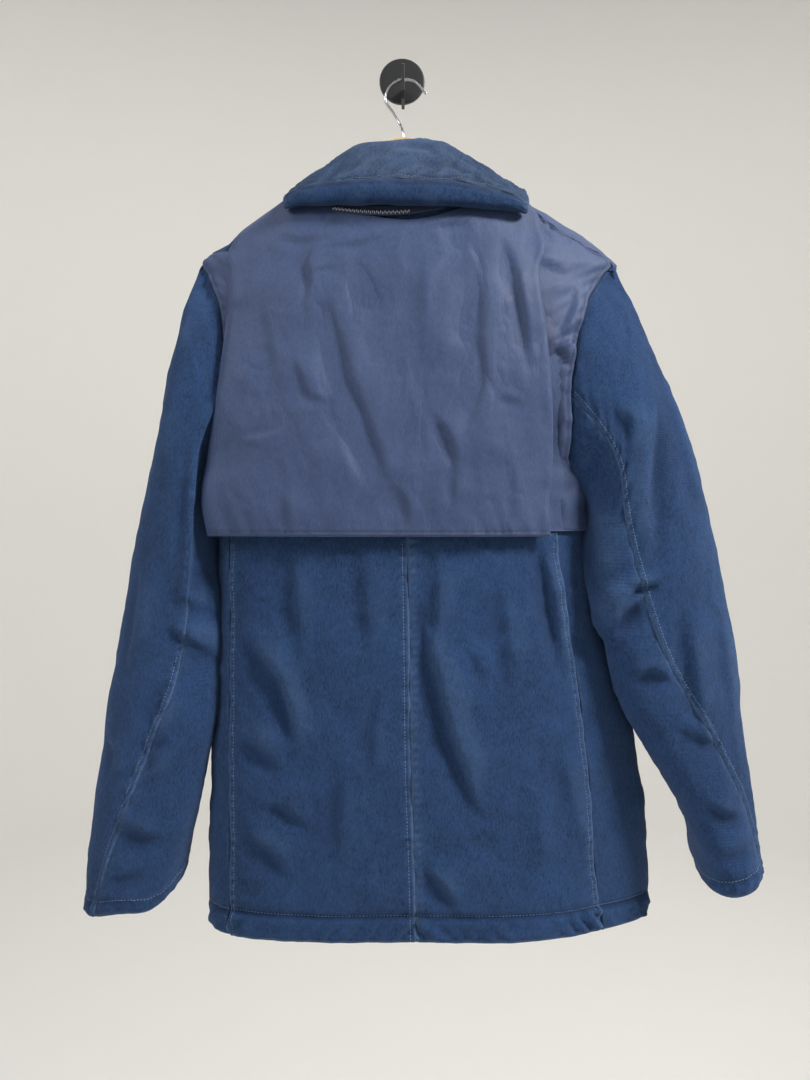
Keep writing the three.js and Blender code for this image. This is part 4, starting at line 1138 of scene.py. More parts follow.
# %% Cape form
CAPE_TOP_DROP = 5.0
CAPE_CLEARANCE, CAPE_HEM_CLEARANCE = 4.6, 11.0
CAPE_DEEPEST = -3.4       # a deeper crease would reach the back panel
CAPE_STITCH = 4.5
SHELL_CLOTH = 1.4
CAPE_FOLDS = (
    # z, left fold, right fold, left edge flare, left edge lift
    (-505, 1.97, 1.76, 12, 4),
    (-470, 1.97, 1.69, 16, 8),
    (-425, 1.97, 1.63, 8, 12),
    (-350, 1.97, 1.60, 0, 9),
    (-290, 1.86, 1.45, 0, 3),
    (-240, 1.68, 1.22, 0, 1),
    (-217, 1.62, 1.18, 0, 0),
    (-203, 1.70, 1.32, 0, 0),
    (-187, 1.92, 1.62, 0, 0),
    (-170, 1.97, 1.93, 0, 0),
    (-138, 1.97, 1.97, 0, 0),
)
CAPE_CREASES = (
    # depth, width, ridge, line of (x, z)
    (0.8, 5, 0.9, ((-136, -206), (-134, -214), (-131, -226))),
    (2.6, 6, 0.9, ((-86, -200), (-99, -231), (-95, -253), (-99, -294))),
    (4.0, 9, 0.9, ((-80, -244), (-68, -305), (-56, -355), (-36, -404), (-21, -439), (-4, -476))),
    (1.6, 4.5, 0.9, ((-112, -318), (-96, -362), (-88, -371), (-73, -372), (-66, -358))),
    (1.2, 2.6, 1.0, ((-90, -242), (-75, -238), (-59, -233))),
    (0.9, 3.5, 1.0, ((-112, -394), (-137, -403), (-168, -407))),
    (1.4, 5, 0.6, ((-34, -462), (-41, -441), (-62, -396))),
    (1.8, 8, 0.8, ((-50, -222), (-28, -272), (-19, -292))),
    (1.6, 5, 0.9, ((-115, -456), (-115, -480), (-113, -502))),
    (4.4, 6.5, 0.9, ((99, -192), (109, -241), (117, -290), (128, -352))),
    (3.8, 8, 0.9, ((76, -222), (72, -305), (75, -350), (67, -386), (54, -418))),
    (2.6, 5, 1.0, ((28, -378), (46, -416), (56, -450))),
    (1.8, 5, 0.9, ((49, -424), (48, -452), (47, -484))),
    (1.6, 3.5, 1.0, ((22, -195), (54, -190), (88, -189))),
    (1.4, 3.5, 1.0, ((-134, -199), (-104, -207), (-66, -205))),
    (1.3, 3.5, 1.0, ((-80, -216), (-40, -212), (-8, -199))),
    (1.0, 4, 1.0, ((90, -368), (106, -373), (124, -374))),
    (1.8, 9, 0.8, ((18, -222), (12, -290), (18, -346))),
    (1.8, 8, 0.8, ((98, -420), (104, -456), (104, -500))),
    (1.5, 8, 0.7, ((-146, -262), (-132, -330), (-134, -370))),
    (1.4, 5, 0.9, ((-8, -452), (2, -476), (4, -500))),
)


def cape_spot(u, v):
    """The cape's form: its sides follow the two folded edges at every height."""
    def edges_at(t):
        z = mix(CAPE_HEM_Z, neck_height(t) - CAPE_TOP_DROP, v)
        return [table_value(CAPE_FOLDS, c, z) for c in range(1, 5)]

    left, right, flare, lift = edges_at(mix(-1.85, 1.85, u))
    left, right, flare, lift = edges_at(mix(-left, right, u))
    t = mix(-left, right, u)
    z = mix(CAPE_HEM_Z, neck_height(t) - CAPE_TOP_DROP, v)
    points, normals = body_spot(t, z)
    off = mix(CAPE_HEM_CLEARANCE, CAPE_CLEARANCE, smooth(v / 0.7)) + lift * (1 - u) ** 3
    points = points + normals * off[..., None]
    points[..., 0] -= flare * (1 - u) ** 4
    return points, normals


def grid_normals(points, like):
    """Normals of a grid by finite differences, facing the same way as the given ones."""
    across = np.gradient(points, axis=1)
    along = np.gradient(points, axis=0)
    normals = unit(np.cross(across, along))
    return np.where(np.sum(normals * like, axis=-1, keepdims=True) < 0, -normals, normals)


def cape():
    u, v = np.meshgrid(spaced(360, 3.2), spaced(345, 3.2))
    points, body_normals = cape_spot(u, v)
    normals = grid_normals(points, body_normals)
    points, d, x, z = laid_out(points)
    folded = -2.0 * bell(d["first"], 4.0) - 1.2 * bell(d["last"], 1.6)
    roll = 1.2 * bell(d["last"] - 5, 5) + 1.0 * bell(d["first"] - 10, 7)
    off_stitch = d["low"] - CAPE_STITCH
    hem = (-0.6 * bell(off_stitch, 1.0) - 0.8 * bell(d["low"], 1.4) + 0.5 * bell(d["low"] - 2.4, 1.4)
           + 0.9 * pucker(np.abs(off_stitch), x, 7, 5, 51, 0.5)
           + 0.9 * pucker(d["low"], x, 21, 26, 54, 0.4))
    soft = 1.5 * dapple(x, z, 95, 52) + 0.5 * dapple(x, z, 36, 53)
    crisp = 0.7 * crinkle(x, z, 60, 55) + 0.3 * crinkle(x, z, 24, 56)
    free = smooth(d["high"] / 30)
    creased = folds(x, z, CAPE_CREASES)
    tops, trough_shade_and_dye = crest_paling_and_trough_shade(creased, 2.6)
    relief = np.maximum(creased + (soft + crisp) * free + folded + roll + hem, CAPE_DEEPEST)
    # Paler at the hem and edge from wear, and on the tops of creases and small crinkles partly as a
    # painted highlight. Painted shade in the hem's stitch groove and in crease troughs.
    wear_and_highlight = np.maximum.reduce([edge_wear(d, ("low", "last"), 1.4, 0.6), 0.3 * bell(off_stitch, 1.0),
                              0.25 * smooth(crisp * 2 - 0.4), 0.8 * tops])
    groove = np.maximum(0.8 * bell(off_stitch, 0.9), 0.45 * trough_shade_and_dye)
    piece, outer = cloth_piece("storm_cape", points, normals, relief, SHELL_CLOTH, NYLON,
                               d, wear_and_highlight, groove)
    settle(piece, "nylon", "back_cape")
    sew("cape_thread", outer, normals, d, "low", CAPE_STITCH)
    return piece


cape_piece = cape()


# %% Under-layers
UNDER_LOW_Z, UNDER_TOP_Z = -499.0, {"left": -209.0, "right": -174.0}
UNDER_REACH = {"left": 0.12, "right": 0.72}     # stations past the seam, below the armhole
UNDER_CREASES = (
    # depth, width, ridge, line of (x, z)
    (2.0, 4.5, 1.3, ((124, -221), (142, -228), (164, -237), (178, -229))),
    (3.2, 6, 1.5, ((178, -240), (167, -275), (154, -308))),
    (2.6, 4, 1.6, ((150, -311), (164, -327), (170, -336))),
    (2.2, 4, 1.5, ((172, -300), (160, -306), (152, -314))),
    (3.0, 7, 1.3, ((147, -348), (151, -414), (161, -444))),
    (2.4, 6, 1.3, ((176, -420), (168, -446), (166, -480))),
    (1.8, 4, 1.3, ((148, -462), (158, -476), (160, -494))),
)


def under_layer(side):
    sign = 1.0 if side == "right" else -1.0
    column = 2 if side == "right" else 1
    tall = UNDER_TOP_Z[side] - UNDER_LOW_Z
    u, z = np.meshgrid(spaced(70, 3.0), UNDER_LOW_Z + tall * spaced(tall, 4.0))
    fold = table_value(CAPE_FOLDS, column, z)
    low = smooth((-424 - z) / 24)
    t = sign * (mix(fold - 0.22, 1.98, u) + UNDER_REACH[side] * low * smooth((u - 0.4) / 0.6))
    points, normals = body_spot(t, z)
    points = points + normals * (SEAM_GAP + SHELL_CLOTH + mix(0.5, 1.8 + 3.0 * low, low * u))[..., None]
    points, d, x, up = laid_out(points)
    shape = 0.9 * dapple(x, up, 34, 61 if sign > 0 else 62) + 0.5 * crinkle(x, up, 22, 65)
    if side == "right":
        shape = np.maximum(shape + folds(x, up, UNDER_CREASES), -0.9) - fold_hollow(x, up)
    rows = stitched_edge(d["last"], up, SEAM_STITCH, 1.4, 1.0, 63 if sign > 0 else 64, 6.5) * (1 - low)
    relief = shape + rows - 0.7 * bell(d["low"], 1.5)
    relief = relief * smooth(d["high"] / 14) if side == "left" else relief
    wear_and_highlight = np.maximum.reduce([0.6 * bell(d["last"], 1.4), 0.4 * bell(d["low"], 1.4),
                              0.5 * seam_fade(d["last"], up, SEAM_STITCH, 63)])
    # Painted shadow beside the cape's folded edge, and painted shade in the seam and stitch grooves.
    shade_under_cape = 1.1 * bell(d["first"] - 19, 11) * smooth((-230 - up) / 90)
    groove = np.maximum.reduce([bell(d["last"], 2.2), shade_under_cape,
                                0.8 * bell(d["last"] - SEAM_STITCH, 1.0) * (1 - low)])
    piece, outer = cloth_piece(f"under_layer_{side}", points, normals, relief, SHELL_CLOTH, NYLON,
                               d, wear_and_highlight, groove)
    settle(piece, "nylon", f"cape_underlayer_{side}")
    sew("cape_thread", outer, normals, d, "last", SEAM_STITCH)
    if side == "left":
        sew("cape_thread", outer, normals, d, "last", 2.4)
    sew("cape_thread", outer, normals, d, "low", 4.0)
    return piece


under_pieces = {side: under_layer(side) for side in ("left", "right")}
print("cape faces:", len(cape_piece.data.polygons))

# %% [markdown]
# ## The sleeves
#
# A car coat has two-part sleeves. The upper part goes over the outside of the arm, the
# under part closes it towards the body, and the back seam between them is topstitched.
# On the hanger the empty sleeves hang in front of themselves: they fold at the elbow,
# and a long soft fold runs down from the shoulder. The rings in the tables are level
# cuts from the armhole to the cuff, leaning with the arm.

# %% Sleeve tables
SLEEVE_COLUMNS = ("outer_x", "outer_z", "inner_x", "inner_z", "middle_y", "near_y", "far_y", "drop")
SLEEVES = {
    "left": (
        (-209, -217, -183, -425, -50, -86, -22, 0),
        (-221, -254, -192, -446, -56, -98, -18, 0),
        (-234, -302, -196, -468, -58, -103, -16, 0),
        (-249, -373, -197, -505, -60, -104, -15, 0),
        (-262, -447, -197, -550, -60, -104, -14, 2),
        (-278, -529, -197, -610, -60, -104, -14, 4),
        (-293, -612, -199, -670, -60, -104, -15, 6),
        (-307, -706, -206, -716, -62, -103, -18, 8),
        (-319, -795, -215, -788, -63, -101, -24, 10),
        (-328, -886, -225, -846, -64, -98, -29, 12),
    ),
    "right": (
        (224, -217, 178, -425, -52, -88, -22, 0),
        (240, -256, 188, -448, -57, -100, -18, 0),
        (257, -305, 192, -470, -60, -107, -16, 0),
        (281, -369, 193, -497, -62, -110, -14, 0),
        (303, -435, 197, -532, -63, -112, -13, 0),
        (318, -497, 208, -575, -64, -113, -13, 0),
        (331, -560, 222, -620, -64, -113, -12, 2),
        (343, -633, 236, -672, -64, -112, -12, 4),
        (350, -701, 258, -722, -64, -111, -12, 6),
        (360, -769, 289, -779, -62, -110, -12, 9),
        (370, -839, 311, -858, -60, -110, -12, 12),
    ),
}
SLEEVE_BLEND, SLEEVE_ROUNDNESS = 0.3, 2.3
BACK_SEAM = {"left": (100, 50), "right": (96, 36)}    # degrees at the elbow and the cuff
CUFF_STITCH, CUFF_ROPING = 17.0, 15.0
LEFT_CUFF_X, LEFT_CUFF_DROP = -250.0, 13.0      # where it hangs lowest, and by how much
# How far the near side of each ring sags over the body, by share of the sleeve.
SAG = {"left": ((0.0, 0), (0.25, 6), (0.45, 20), (0.62, 27), (0.78, 26), (0.9, 10), (1.0, 0)),
       "right": ((0.0, 0), (0.25, 6), (0.4, 27), (0.55, 37), (0.68, 37), (0.8, 20), (1.0, 0))}
# How far the cloth between the seam and the body is tucked in, by share of the sleeve.
TUCK = {"left": ((0.0, 0), (0.1, 2), (0.2, 18), (0.3, 27), (0.42, 26), (0.5, 13), (0.6, 3), (1.0, 0)),
        "right": ((0.0, 0), (0.12, 2), (0.22, 8), (0.32, 7), (0.45, 2), (0.6, 0), (1.0, 0))}


# %% Sleeve form
def sleeve_ring(side, s):
    table = SLEEVES[side]
    place = s * (len(table) - 1)
    return {name: table_value(table, c, place, True) for c, name in enumerate(SLEEVE_COLUMNS)}


def ring_point(side, s, degrees):
    ring = sleeve_ring(side, s)
    c, d = squarish(np.radians(degrees), 2 / SLEEVE_ROUNDNESS)
    deep = np.where(d > 0, ring["middle_y"] - ring["near_y"], ring["far_y"] - ring["middle_y"])
    sag = table_value(SAG[side], 1, s) * np.maximum(d, 0) ** 0.8 * (1 - c) / 2
    sag = sag if side == "left" else -sag
    turn = np.mod(degrees, 360)
    tuck = table_value(TUCK[side], 1, s) * smooth((turn - 100) / 22) * smooth((205 - turn) / 40)
    outward = (1 + c) / 2
    return np.stack([mix(ring["inner_x"], ring["outer_x"], outward) + sag,
                     ring["middle_y"] - d * deep + tuck,
                     mix(ring["inner_z"], ring["outer_z"], outward) - d * ring["drop"]], axis=-1)


def armhole_point(side, degrees):
    turn = np.mod(degrees, 360)
    z = ARMHOLE_MIDDLE + ARMHOLE_REACH * np.cos(np.radians(turn))
    return armhole_station(side, turn), z


def sleeve_point(side, s, degrees):
    s = np.clip(s, 0, 1)
    turn = np.mod(degrees, 360)
    start = body_point(*armhole_point(side, turn))
    away = start - ring_point(side, np.zeros_like(s), turn)
    return ring_point(side, s, turn) + away * (1 - smooth(s / SLEEVE_BLEND))[..., None]


def sleeve_spot(side, s, degrees):
    points = sleeve_point(side, s, degrees)
    ring = sleeve_ring(side, s)
    core = np.stack([(ring["inner_x"] + ring["outer_x"]) / 2, ring["middle_y"],
                     (ring["inner_z"] + ring["outer_z"]) / 2], axis=-1)
    surface = lambda a, b: sleeve_point(side, a, b)
    normals = away_from(normal_of(surface, s, degrees, 0.008, 3.0), points, core)
    _, at_seam = body_spot(*armhole_point(side, degrees))
    return points, unit(mix(at_seam, normals, smooth(s / 0.02)[..., None]))


def seam_angle(side, s):
    elbow, cuff = BACK_SEAM[side]
    top = armhole_angle(SLEEVE_SEAM_Z, False)
    below = np.clip((s - 0.55) / 0.45, 0, 1) ** 1.7
    return np.where(s < 0.55, mix(top, elbow, s / 0.55), mix(elbow, cuff, below))


# %% Sleeve folds and pieces
SLEEVE_FOLDS = {
    # depth, width, ridge, line of (x, z)
    "left": (
        (3.4, 7, 0.9, ((-242, -590), (-214, -612), (-176, -636))),
        (2.4, 6, 0.9, ((-228, -560), (-212, -574), (-186, -588))),
        (2.8, 6, 0.8, ((-230, -640), (-244, -676), (-262, -712))),
        (3.0, 7, 0.8, ((-292, -786), (-262, -806), (-232, -812))),
        (2.6, 7, 0.8, ((-234, -330), (-250, -400), (-262, -470))),
        (2.6, 7, 0.8, ((-262, -520), (-272, -590), (-282, -650))),
        (2.2, 6, 0.8, ((-300, -850), (-272, -846), (-246, -830))),
        (2.4, 6, 0.9, ((-226, -700), (-248, -722), (-262, -752))),
        (2.2, 5, 0.9, ((-304, -700), (-292, -722), (-296, -752))),
        (2.0, 6, 0.8, ((-222, -272), (-232, -300), (-236, -342))),
    ),
    "right": (
        (5.0, 5.5, 1.0, ((207, -604), (225, -581), (246, -560))),
        (2.6, 4.5, 1.0, ((208, -594), (222, -568), (236, -556), (262, -552))),
        (1.8, 4, 1.0, ((218, -552), (240, -556), (262, -549))),
        (3.6, 7, 0.9, ((251, -546), (252, -502), (250, -452), (256, -388), (258, -350))),
        (3.6, 7, 0.9, ((189, -450), (191, -540), (202, -582))),
        (2.8, 6, 0.9, ((226, -652), (246, -640), (272, -652))),
        (3.0, 7, 0.9, ((274, -560), (280, -610), (286, -660), (300, -720))),
        (2.6, 8, 0.8, ((240, -262), (262, -340), (282, -430), (296, -500))),
        (2.6, 6, 0.9, ((206, -372), (222, -392), (226, -420))),
        (2.4, 6, 0.8, ((264, -690), (292, -706), (322, -716))),
        (2.6, 6, 0.9, ((296, -766), (320, -784), (346, -780))),
        (2.0, 5, 0.9, ((312, -826), (330, -818), (348, -806))),
        (1.8, 7, 0.8, ((310, -560), (318, -640), (330, -700))),
    ),
}


def cuff_band(distances, seed):
    """A turned cuff: a stitch row, with short slanting wrinkles between it and the edge."""
    high, along = distances["high"], distances["first"]
    inside = smooth(high / 4) * smooth((CUFF_STITCH - high) / 5)
    roping = np.sin(2 * math.pi * (along + 0.7 * high) / CUFF_ROPING + 2.0 * wander(along / 25, seed))
    return (-1.5 * bell(high - CUFF_STITCH, 1.8) - 1.0 * bell(high, 2.0) + inside * (0.2 + roping)
            + 0.8 * pucker(np.abs(high - CUFF_STITCH), along, 13, 12, seed + 3))


def sleeve_half(side, under):
    u, s = np.meshgrid(spaced(170 if under else 250, 4.2), spaced(690, 4.4))
    front_angle = armhole_angle(SLEEVE_SEAM_Z, True)
    seam = seam_angle(side, s)
    degrees = mix(seam, front_angle, u) if under else mix(front_angle - 360, seam, u)
    points, normals = sleeve_spot(side, s, degrees)
    points = trim(points, ("first", "last", "low"))
    if side == "left":
        middle = bell(points[..., 0] - LEFT_CUFF_X, 28)
        points[..., 2] -= LEFT_CUFF_DROP * smooth((s - 0.8) / 0.2) * middle
    d = edge_distances(points)
    x, z = points[..., 0], points[..., 2]
    back_edge, front_edge = ("first", "last") if under else ("last", "first")
    seed = (71 if side == "left" else 75) + (2 if under else 0)

    near = smooth(0.5 - normals[..., 1] * 1.2)
    own = folds(x, z, SLEEVE_FOLDS[side])
    hidden = 0.7 * folds(x + 14, z + 22, SLEEVE_FOLDS[side])
    at_ends = smooth(d["low"] / 14) * smooth(d["high"] / 10)
    small = 0.7 * wrinkles(x + points[..., 1], z, seed)
    creased = 1.15 * mix(hidden, own, near)
    tops, trough_shade_and_dye = crest_paling_and_trough_shade((creased + 0.6 * small) * at_ends)
    relief = (creased + small) * at_ends + puff(d, 14)
    hung = smooth((s - 0.06) / 0.06) * smooth((0.62 - s) / 0.12) if side == "left" else 0.0
    if under:
        relief = relief + seam_dip(d[back_edge], 1.2) * (1 - hung)
        relief = relief + 0.6 * pucker(d[back_edge], d["low"], 22, 16, seed) * smooth(d[back_edge] / 4)
        relief = relief - 2.0 * hung * bell(d[back_edge] - 5, 12) * smooth(d[back_edge] / 4)
    else:
        seam = stitched_edge(d[back_edge], d["low"], SEAM_STITCH, 1.2, 0.6, seed)
        relief = relief + seam * (1 - hung)
        relief = relief + 5.0 * hung * bell(d[back_edge] - 6, 8) * smooth(d[back_edge] / 3)
    relief = relief + seam_dip(d[front_edge], 1.2) + 0.3 * pucker(d[front_edge], d["low"], 21, 16, seed)
    head = seam_dip(d["low"], 1.4, 2.4) + 1.0 * pucker(d["low"], d["first"], 17, 20, seed + 2, 0.15)
    relief = relief + head + cuff_band(d, seed) * broadside(normals)
    fade = seam_fade(d[back_edge], d["low"], SEAM_STITCH, seed) * (1 - 0.8 * hung)
    # Paler at seams and edges from wear, and on the tops of folds partly as a painted highlight.
    wear_and_highlight = np.maximum.reduce([
        (0.3 if under else 0.75) * fade, 0.4 * bell(d[front_edge] - 1, 1.6), tops,
        0.7 * bell(d["high"] - 1, 2.6), 0.35 * bell(d["high"] - CUFF_STITCH - 2, 1.5),
        0.4 * bell(d["low"] - 2, 2.0)])
    # Painted shade at the armhole seam, in the cuff's stitch groove and in fold troughs.
    groove = np.maximum.reduce([bell(d["low"], 1.8), 0.8 * bell(d["high"] - CUFF_STITCH, 1.8), trough_shade_and_dye])
    kind = "under" if under else "upper"
    piece, outer = cloth_piece(f"{kind}_sleeve_{side}_part", points, normals, relief, LIGHT_CLOTH,
                               TWILL, d, wear_and_highlight, groove, free=("high",))
    settle(piece, "twill", f"{kind}_sleeve_{side}")
    sew("body_thread", outer, normals, d, "high", CUFF_STITCH)
    if not under:
        starts = 0.62 if side == "left" else 0.02
        sew("body_thread", outer, normals, d, back_edge, SEAM_STITCH, (starts, 0.995))
    return piece


sleeve_pieces = [sleeve_half(side, under) for side in ("left", "right") for under in (False, True)]
print("sleeves:", [len(p.data.polygons) for p in sleeve_pieces])

# %% [markdown]
# ## The collar
#
# The collar is one long band, sewn to the neck with its inner edge. It stands up inside,
# turns over at the crest, and its fall comes down outside to a free topstitched edge. At
# both front ends it runs on down into the lapels. COLLAR gives, for each angle round the
# neck from the centre back, where the crest is and where the fall ends. A few columns
# are drawn through those points and eased off the shoulders, and then made finer.

# %% Collar form
COLLAR = (
    # angle, crest x y z, fall x y z
    (-159, -52, -23, -164, -84, -7, -268),
    (-138, -68, -23, -141, -105, -8, -232),
    (-120, -80, -25, -129, -119, -11, -196),
    (-106, -84, -33, -123, -121, -22, -160),
    (-90, -84, -45, -121, -119, -46, -140),
    (-70, -77, -58, -120, -123, -75, -158),
    (-50, -60, -66, -110, -103, -87, -151),
    (-36, -44, -69, -102, -77, -93, -151),
    (-25, -30, -70, -98, -55, -97, -147.5),
    (0, 3, -71, -95, 5, -102, -146.5),
    (14, 22, -71, -94.5, 36, -100, -149.5),
    (25, 38, -70, -96, 60, -98, -148),
    (50, 69, -66, -113, 105, -89, -154),
    (70, 85, -58, -122, 132, -79, -163),
    (90, 92, -46, -121, 127, -47, -139.5),
    (106, 93, -33, -122, 128, -22, -160),
    (120, 88, -25, -129, 127, -11, -196),
    (138, 76, -23, -141, 113, -8, -232),
    (159, 60, -23, -164, 90, -7, -268),
)
COLLAR_CLOTH = 4.0
COLLAR_END = 159.0
COLLAR_STITCH = 3.6


def neck_station(angle):
    side = np.abs(angle)
    front = np.where(side < 110, 2 + (side - 90) / 10, 4 + (side - 110) / 35)
    t = np.where(side > 90, front, side / 45)
    return np.where(angle < 0, STATIONS - t, t)


def neck_seam_spot(angle):
    """Where the collar is sewn on: a little below the body's edge and level with its inside."""
    t = neck_station(angle)
    points, normals = body_spot(t, neck_height(t))
    normals = normals * np.array((1.0, 1.0, 0.0))
    normals = unit(normals)
    return points - normals * COLLAR_CLOTH - np.array((0.0, 0.0, 2.5)), normals


def collar_points(angles, shares):
    """The band's form, for columns at some angles and shares of their length."""
    angles = np.clip(angles, -COLLAR_END, COLLAR_END)
    crest = np.stack([table_value(COLLAR, c, angles) for c in (1, 2, 3)], axis=-1)
    fall = np.stack([table_value(COLLAR, c, angles) for c in (4, 5, 6)], axis=-1)
    seam, _ = neck_seam_spot(angles)
    away = unit((fall - crest) * np.array((1.0, 1.0, 0.0)))
    size = np.clip(np.linalg.norm(seam - crest, axis=-1, keepdims=True) / 40, 0.5, 1)
    down = np.array((0.0, 0.0, -1.0))
    line = [seam, mix(seam, crest, 0.35), crest - away * 4 * size + down * 9 * size, crest,
            crest + away * 9 + down * 4, mix(crest, fall, 0.55) + away * 5, fall]
    line = [2 * line[0] - line[1]] + line + [2 * line[-1] - line[-2]]
    steps = np.linspace(0, 1, 33)[:, None, None]
    dense = np.concatenate([centripetal(*line[k:k + 4], steps)[(0 if k == 0 else 1):] for k in range(6)])
    run = np.pad(np.cumsum(np.linalg.norm(np.diff(dense, axis=0), axis=2), axis=0), ((1, 0), (0, 0)))
    run = run / run[-1]
    result = np.empty((len(shares), len(angles), 3))
    for j in range(len(angles)):
        for k in range(3):
            result[:, j, k] = np.interp(np.clip(shares, 0, 1), run[:, j], dense[:, j, k])
    return result


def shoulder_shortfall(points, directions, clearance):
    """How far points must go along their directions to be clear of the shoulders."""
    t, v = np.meshgrid(np.linspace(-6, 6, 97), np.linspace(0, 1, 31))
    spots, up = body_spot(t, mix(-270.0, neck_height(t), v))
    spots, up = spots.reshape(-1, 3), up.reshape(-1, 3)
    far = np.linalg.norm(points.reshape(-1, 1, 3) - spots[None], axis=2)
    nearest = np.argmin(far, axis=1)
    near_up = up[nearest].reshape(points.shape)
    height = np.sum((points - spots[nearest].reshape(points.shape)) * near_up, axis=-1)
    lean = np.maximum(np.sum(directions * near_up, axis=-1), 0.5)
    return np.maximum(clearance - height, 0) / lean


def collar_grid():
    angles = np.linspace(-COLLAR_END, COLLAR_END, 43)
    shares = np.linspace(0, 1, 19)
    points = collar_points(angles, shares)
    along = collar_points(angles + 4, shares) - collar_points(angles - 4, shares)
    across = collar_points(angles, shares + 0.03) - collar_points(angles, shares - 0.03)
    normals = -unit(np.cross(along, across))
    under = mix(CAPE_CLEARANCE, 0.0, smooth((np.abs(angles) - 90) / 12)) + 1.2
    clearance = (COLLAR_CLOTH + under[None]) * smooth((shares - 0.5) / 0.2)[:, None]
    push = shoulder_shortfall(points, normals, clearance) * (shares > 0.5)[:, None]
    points = points + normals * push[..., None]
    fine_shares = spaced(105, 2.6)
    fine_angles = np.interp(spaced(520, 3.2), (0, 1), (-COLLAR_END, COLLAR_END))

    def made_finer(grid):
        rows = cubic_rows(grid, shares, fine_shares)
        return cubic_rows(rows.swapaxes(0, 1), angles, fine_angles).swapaxes(0, 1)

    fine = made_finer(points)
    fine_normals = grid_normals(fine, made_finer(normals))
    _, at_seam = neck_seam_spot(fine_angles)
    d = edge_distances(fine)
    fine_normals = unit(mix(-at_seam[None], fine_normals, smooth(d["low"] / 7)[..., None]))
    return fine, fine_normals, d, fine_shares, fine_angles


COLLAR_CREASES = (
    # depth, width, ridge, line of (x, z)
    (1.8, 3.0, 1.0, ((-80, -136), (-62, -122), (-46, -112), (-22, -106))),
    (1.6, 2.6, 1.0, ((-24, -117), (-4, -119), (14, -118), (24, -122))),
    (1.4, 3.0, 1.0, ((22, -108), (36, -116), (50, -121))),
    (1.6, 4.0, 1.0, ((-108, -152), (-94, -138), (-78, -128))),
    (1.5, 4.0, 1.0, ((74, -122), (96, -136), (114, -154))),
    (1.2, 3.0, 0.9, ((-60, -134), (-48, -126), (-34, -130))),
    (1.2, 3.0, 0.9, ((-6, -106), (10, -110), (30, -106))),
)


# %% The collar piece
def collar():
    points, normals, d, shares, angles = collar_grid()
    x, z = points[..., 0], points[..., 2]
    share = np.broadcast_to(shares[:, None], x.shape)
    outside = smooth((share - 0.42) / 0.08)
    behind = smooth((95 - np.abs(angles)) / 12)[None]
    along, over = d["first"], d["low"]
    relief = (folds(x, z, COLLAR_CREASES) * outside * behind
              + dapple(along, over, 34, 81) * smooth(over / 20)
              + (0.5 * dapple(along, over, 13, 82) + 0.7 * crinkle(along, over, 30, 85)) * outside
              + stitched_edge(d["high"], along, COLLAR_STITCH, 0.8, 0.6, 83, 9.0)
              + seam_dip(over, 0.8))
    relief = np.clip(relief, -1.8, 3.2)
    ends = np.minimum(d["first"], d["last"])
    relief = relief + seam_dip(ends, 0.9) - 0.5 * bell(ends - COLLAR_STITCH, 1.4)
    crest = bell(share - 0.48, 0.07)
    tops, trough_shade_and_dye = crest_paling_and_trough_shade(relief, 1.6)
    # Paler at edges and crest from wear, in patches, and on the tops of creases partly as a painted
    # highlight.
    wear_and_highlight = np.maximum.reduce([1.8 * bell(d["high"] - 0.8, 1.7), 1.2 * bell(ends - 0.5, 2.0), 0.5 * crest,
                              0.35 * outside * smooth(0.5 + 0.8 * dapple(along, over, 18, 84)),
                              1.2 * tops * outside])
    # Painted shade in the edge's stitch groove and in crease troughs.
    groove = np.maximum(0.9 * bell(d["high"] - 4.4, 1.2), trough_shade_and_dye * outside)
    piece, outer = cloth_piece("collar_band", points, normals, relief, COLLAR_CLOTH, COLLAR_TWILL,
                               d, wear_and_highlight, groove)
    settle(piece, "twill", "collar")
    sew("body_thread", outer, normals, d, "high", COLLAR_STITCH)
    return piece


collar_piece = collar()
print("collar faces:", len(collar_piece.data.polygons))

# %% [markdown]
# ## The stuffed pouch and its zip
#
# Under the fall lies a soft roll, the pouch that holds a rolled hood. It is the one
# truly stuffed piece, so it is a full closed form with small tight wrinkles. It closes
# with a metal zip, whose teeth show below it as a shallow bow on a dark woven tape.

# %% The pouch
ROLL = (
    # x, y, z, half height, half depth
    (-121, -79, -165, 4.0, 4.0),
    (-112, -85, -161, 8.5, 6.0),
    (-80, -92, -158.8, 11.5, 7.5),
    (-40, -98, -159, 12.7, 8.6),
    (5, -99.5, -159.8, 13.3, 8.4),
    (50, -98, -160.8, 12.3, 8.6),
    (90, -92, -164, 9.5, 7.5),
    (118, -87, -167.5, 7.0, 6.0),
    (129, -81, -171, 4.0, 4.0),
)


